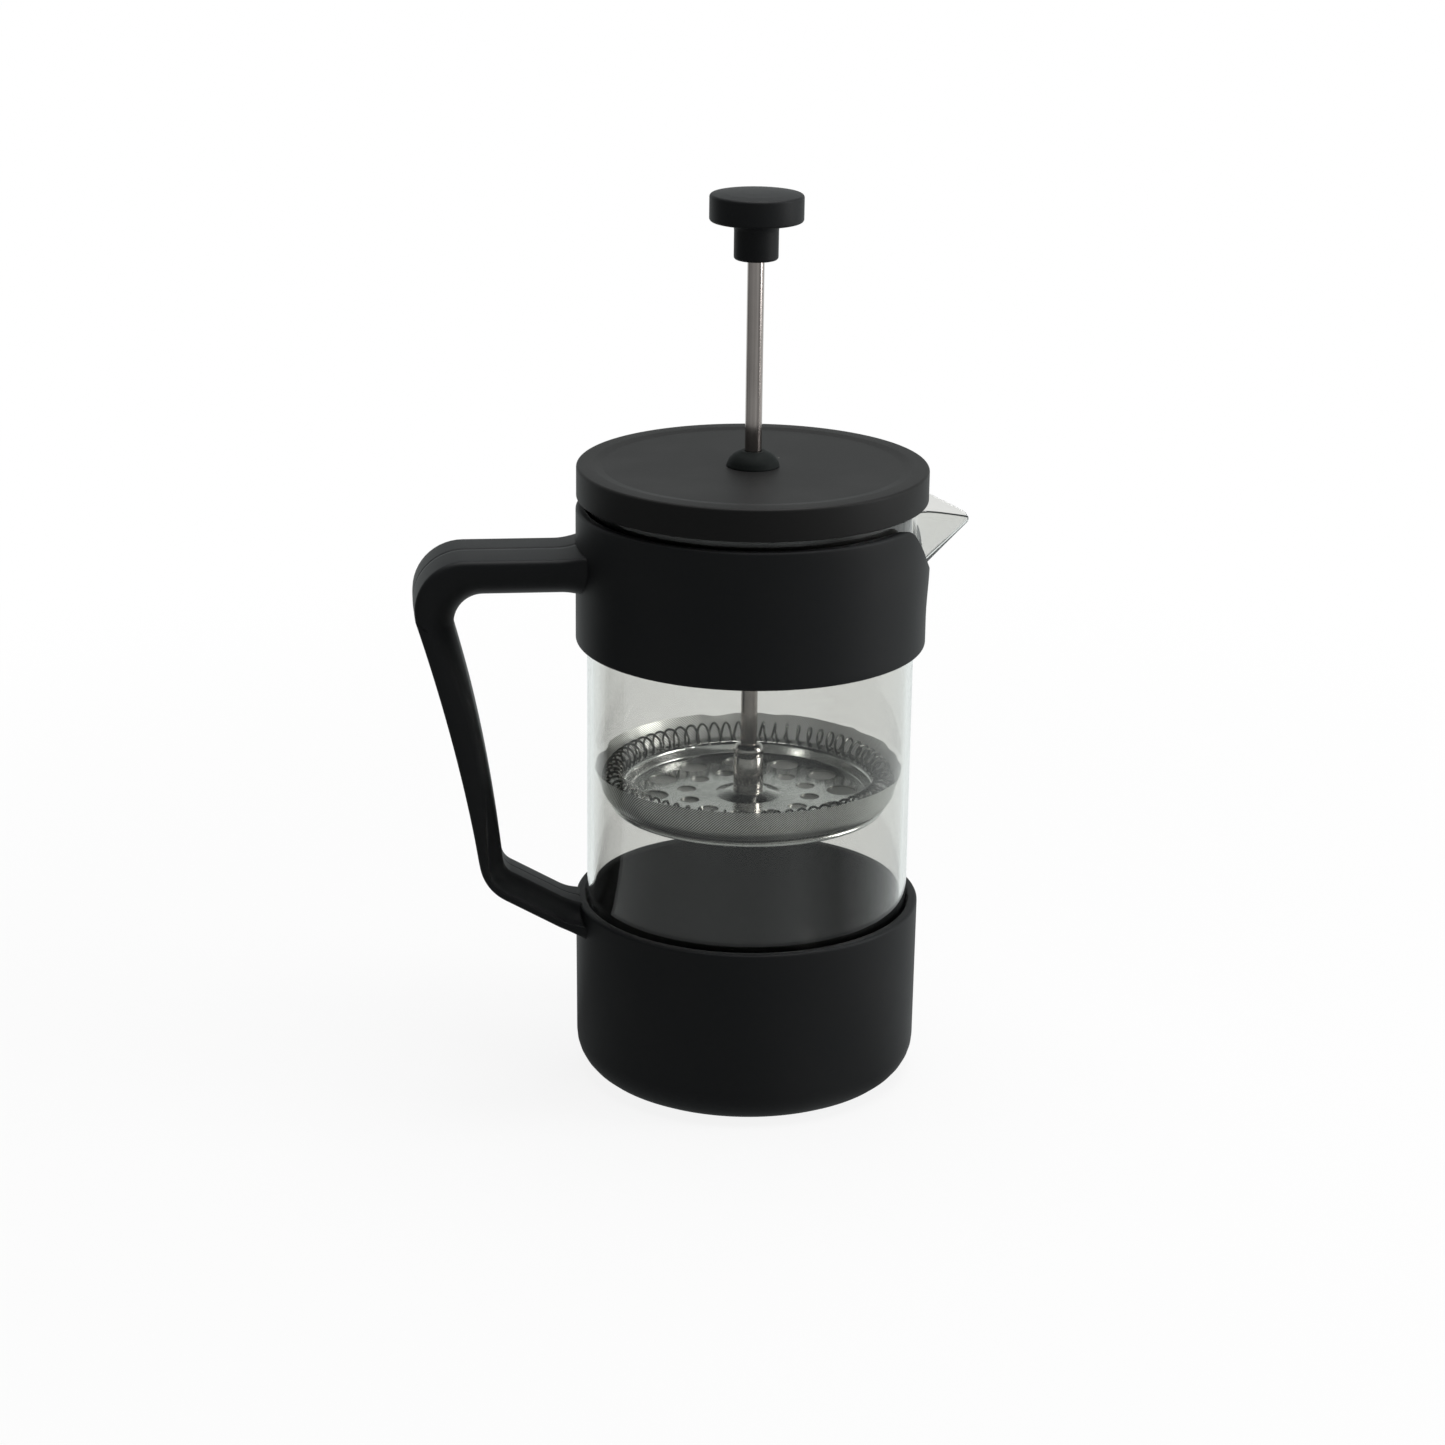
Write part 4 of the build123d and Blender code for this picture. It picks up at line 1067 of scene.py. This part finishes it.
def backdrop_colour(tree, path, direction):
    """White, or for a ray that was mirrored on its way, the tone of that direction.

    The tones run from the back by the left, the front and the right to the back again.
    """
    way = add_node(tree, "SeparateXYZ", {"Vector": direction}).outputs
    front = add_node(tree, "Math", {0: way["Y"], 1: -1.0}, operation="MULTIPLY").outputs[0]
    angle = add_node(tree, "Math", {0: way["X"], 1: front}, operation="ARCTAN2").outputs[0]
    share = add_node(
        tree, "MapRange", {"Value": angle, "From Min": -math.pi, "From Max": math.pi},
    ).outputs["Result"]
    ramp = add_node(tree, "ValToRGB", {"Fac": share})
    stops = ramp.color_ramp.elements
    while len(stops) < len(BACKDROP_TONES):
        stops.new(0.5)
    for stop, (where, tone) in zip(stops, BACKDROP_TONES):
        stop.position = where
        stop.color = (*(tone * tint for tint in BACKDROP_TINT), 1)
    mirrored = add_node(
        tree, "Math", {0: path["Glossy Depth"], 1: 0.5}, operation="GREATER_THAN",
    ).outputs[0]
    return add_node(
        tree, "Mix", {0: mirrored, 6: (1, 1, 1, 1), 7: ramp.outputs["Color"]}, data_type="RGBA",
    ).outputs[2]


bm = bmesh.new()
bmesh.ops.create_grid(bm, x_segments=1, y_segments=1, size=FLOOR_HALF)
floor = as_piece("studio_floor", bm)
pale_floor = bpy.data.materials.new("pale_floor")
pale_floor.use_nodes = True
tree = pale_floor.node_tree
tree.nodes.clear()
path = add_node(tree, "LightPath").outputs
place = add_node(tree, "TexCoord").outputs["Object"]
glow = add_node(
    tree, "Emission", {"Color": backdrop_colour(tree, path, place), "Strength": 1.0},
).outputs[0]
matt = add_node(tree, "BsdfDiffuse", {"Color": (FLOOR_GREY, FLOOR_GREY, FLOOR_GREY, 1)}).outputs[0]
far = add_node(tree, "VectorMath", {0: place}, operation="LENGTH").outputs["Value"]
fade = add_node(
    tree, "MapRange",
    {"Value": far, "From Min": FLOOR_FADE_START, "From Max": FLOOR_FADE_END, "To Min": FLOOR_GLOW},
    interpolation_type="SMOOTHSTEP",
).outputs["Result"]
share = add_node(tree, "Math", {0: meets_backdrop(tree, path), 1: fade}, operation="MULTIPLY").outputs[0]
shown = add_node(tree, "MixShader", {0: share, 1: matt, 2: glow}).outputs[0]
tree.links.new(shown, add_node(tree, "OutputMaterial").inputs["Surface"])
floor.data.materials.append(pale_floor)

world = bpy.data.worlds.new("studio_room")
bpy.context.scene.world = world
world.use_nodes = True
tree = world.node_tree
tree.nodes.clear()
path = add_node(tree, "LightPath").outputs
direction = add_node(tree, "TexCoord").outputs["Generated"]
room = add_node(tree, "Background", {"Color": (1, 1, 1, 1), "Strength": ROOM_LIGHT}).outputs[0]
upward = add_node(tree, "SeparateXYZ", {"Vector": direction}).outputs["Z"]
overhead = add_node(tree, "MapRange", {
    "Value": upward,
    "From Min": OVERHEAD_START,
    "From Max": OVERHEAD_FULL,
    "To Min": 1.0,
    "To Max": ROOM_LIGHT,
}).outputs["Result"]
backdrop = add_node(
    tree, "Background", {"Color": backdrop_colour(tree, path, direction), "Strength": overhead},
).outputs[0]
shown = add_node(tree, "MixShader", {0: meets_backdrop(tree, path), 1: room, 2: backdrop}).outputs[0]
tree.links.new(shown, add_node(tree, "OutputWorld").inputs["Surface"])

for name, spot, size, power in (
    ("overhead_box", (0.10, 0.05, 1.15), (1.1, 0.9), 18.5),
    ("right_box", (0.95, -0.20, 0.40), (0.4, 0.8), 7.5),
):
    lamp = bpy.data.lights.new(name, "AREA")
    lamp.shape = "RECTANGLE"
    lamp.size, lamp.size_y = size
    lamp.energy = power
    box = bpy.data.objects.new(name, lamp)
    box.location = spot
    aim = Vector(LAMP_AIM) - Vector(spot)
    box.rotation_euler = aim.to_track_quat("-Z", "Y").to_euler()
    bpy.context.scene.collection.objects.link(box)


# Camera: a short tele lens from a little above the lid, fitted to the photograph.
# It looks at the middle of the press, with small turns that set the press in the frame.
FOCUS_PIXELS = 3400.0
FRAME_PIXELS = 1445.0
SENSOR = 36.0
AZIMUTH = math.radians(-7.0)
ELEVATION = 0.338825
DISTANCE = 951.65 * MM
YAW = 0.007795
PITCH = 0.016612
ROLL = -0.015444
AIM_HEIGHT = 85.0 * MM
lens = bpy.data.cameras.new("photo_camera")
lens.sensor_width = SENSOR
lens.lens = SENSOR * FOCUS_PIXELS / FRAME_PIXELS
camera = bpy.data.objects.new("photo_camera", lens)
bpy.context.scene.collection.objects.link(camera)
aim = Vector((0, 0, AIM_HEIGHT))
back = Matrix.Rotation(AZIMUTH, 3, "Z") @ Vector((0, -math.cos(ELEVATION), math.sin(ELEVATION)))
camera.location = aim + back * DISTANCE
turn = (
    Matrix.Rotation(AZIMUTH, 3, "Z") @ Matrix.Rotation(math.pi / 2 - ELEVATION, 3, "X")
    @ Matrix.Rotation(YAW, 3, "Y") @ Matrix.Rotation(PITCH, 3, "X") @ Matrix.Rotation(-ROLL, 3, "Z")
)
camera.rotation_euler = turn.to_euler()
bpy.context.scene.camera = camera
bpy.context.scene.view_settings.view_transform = "Standard"
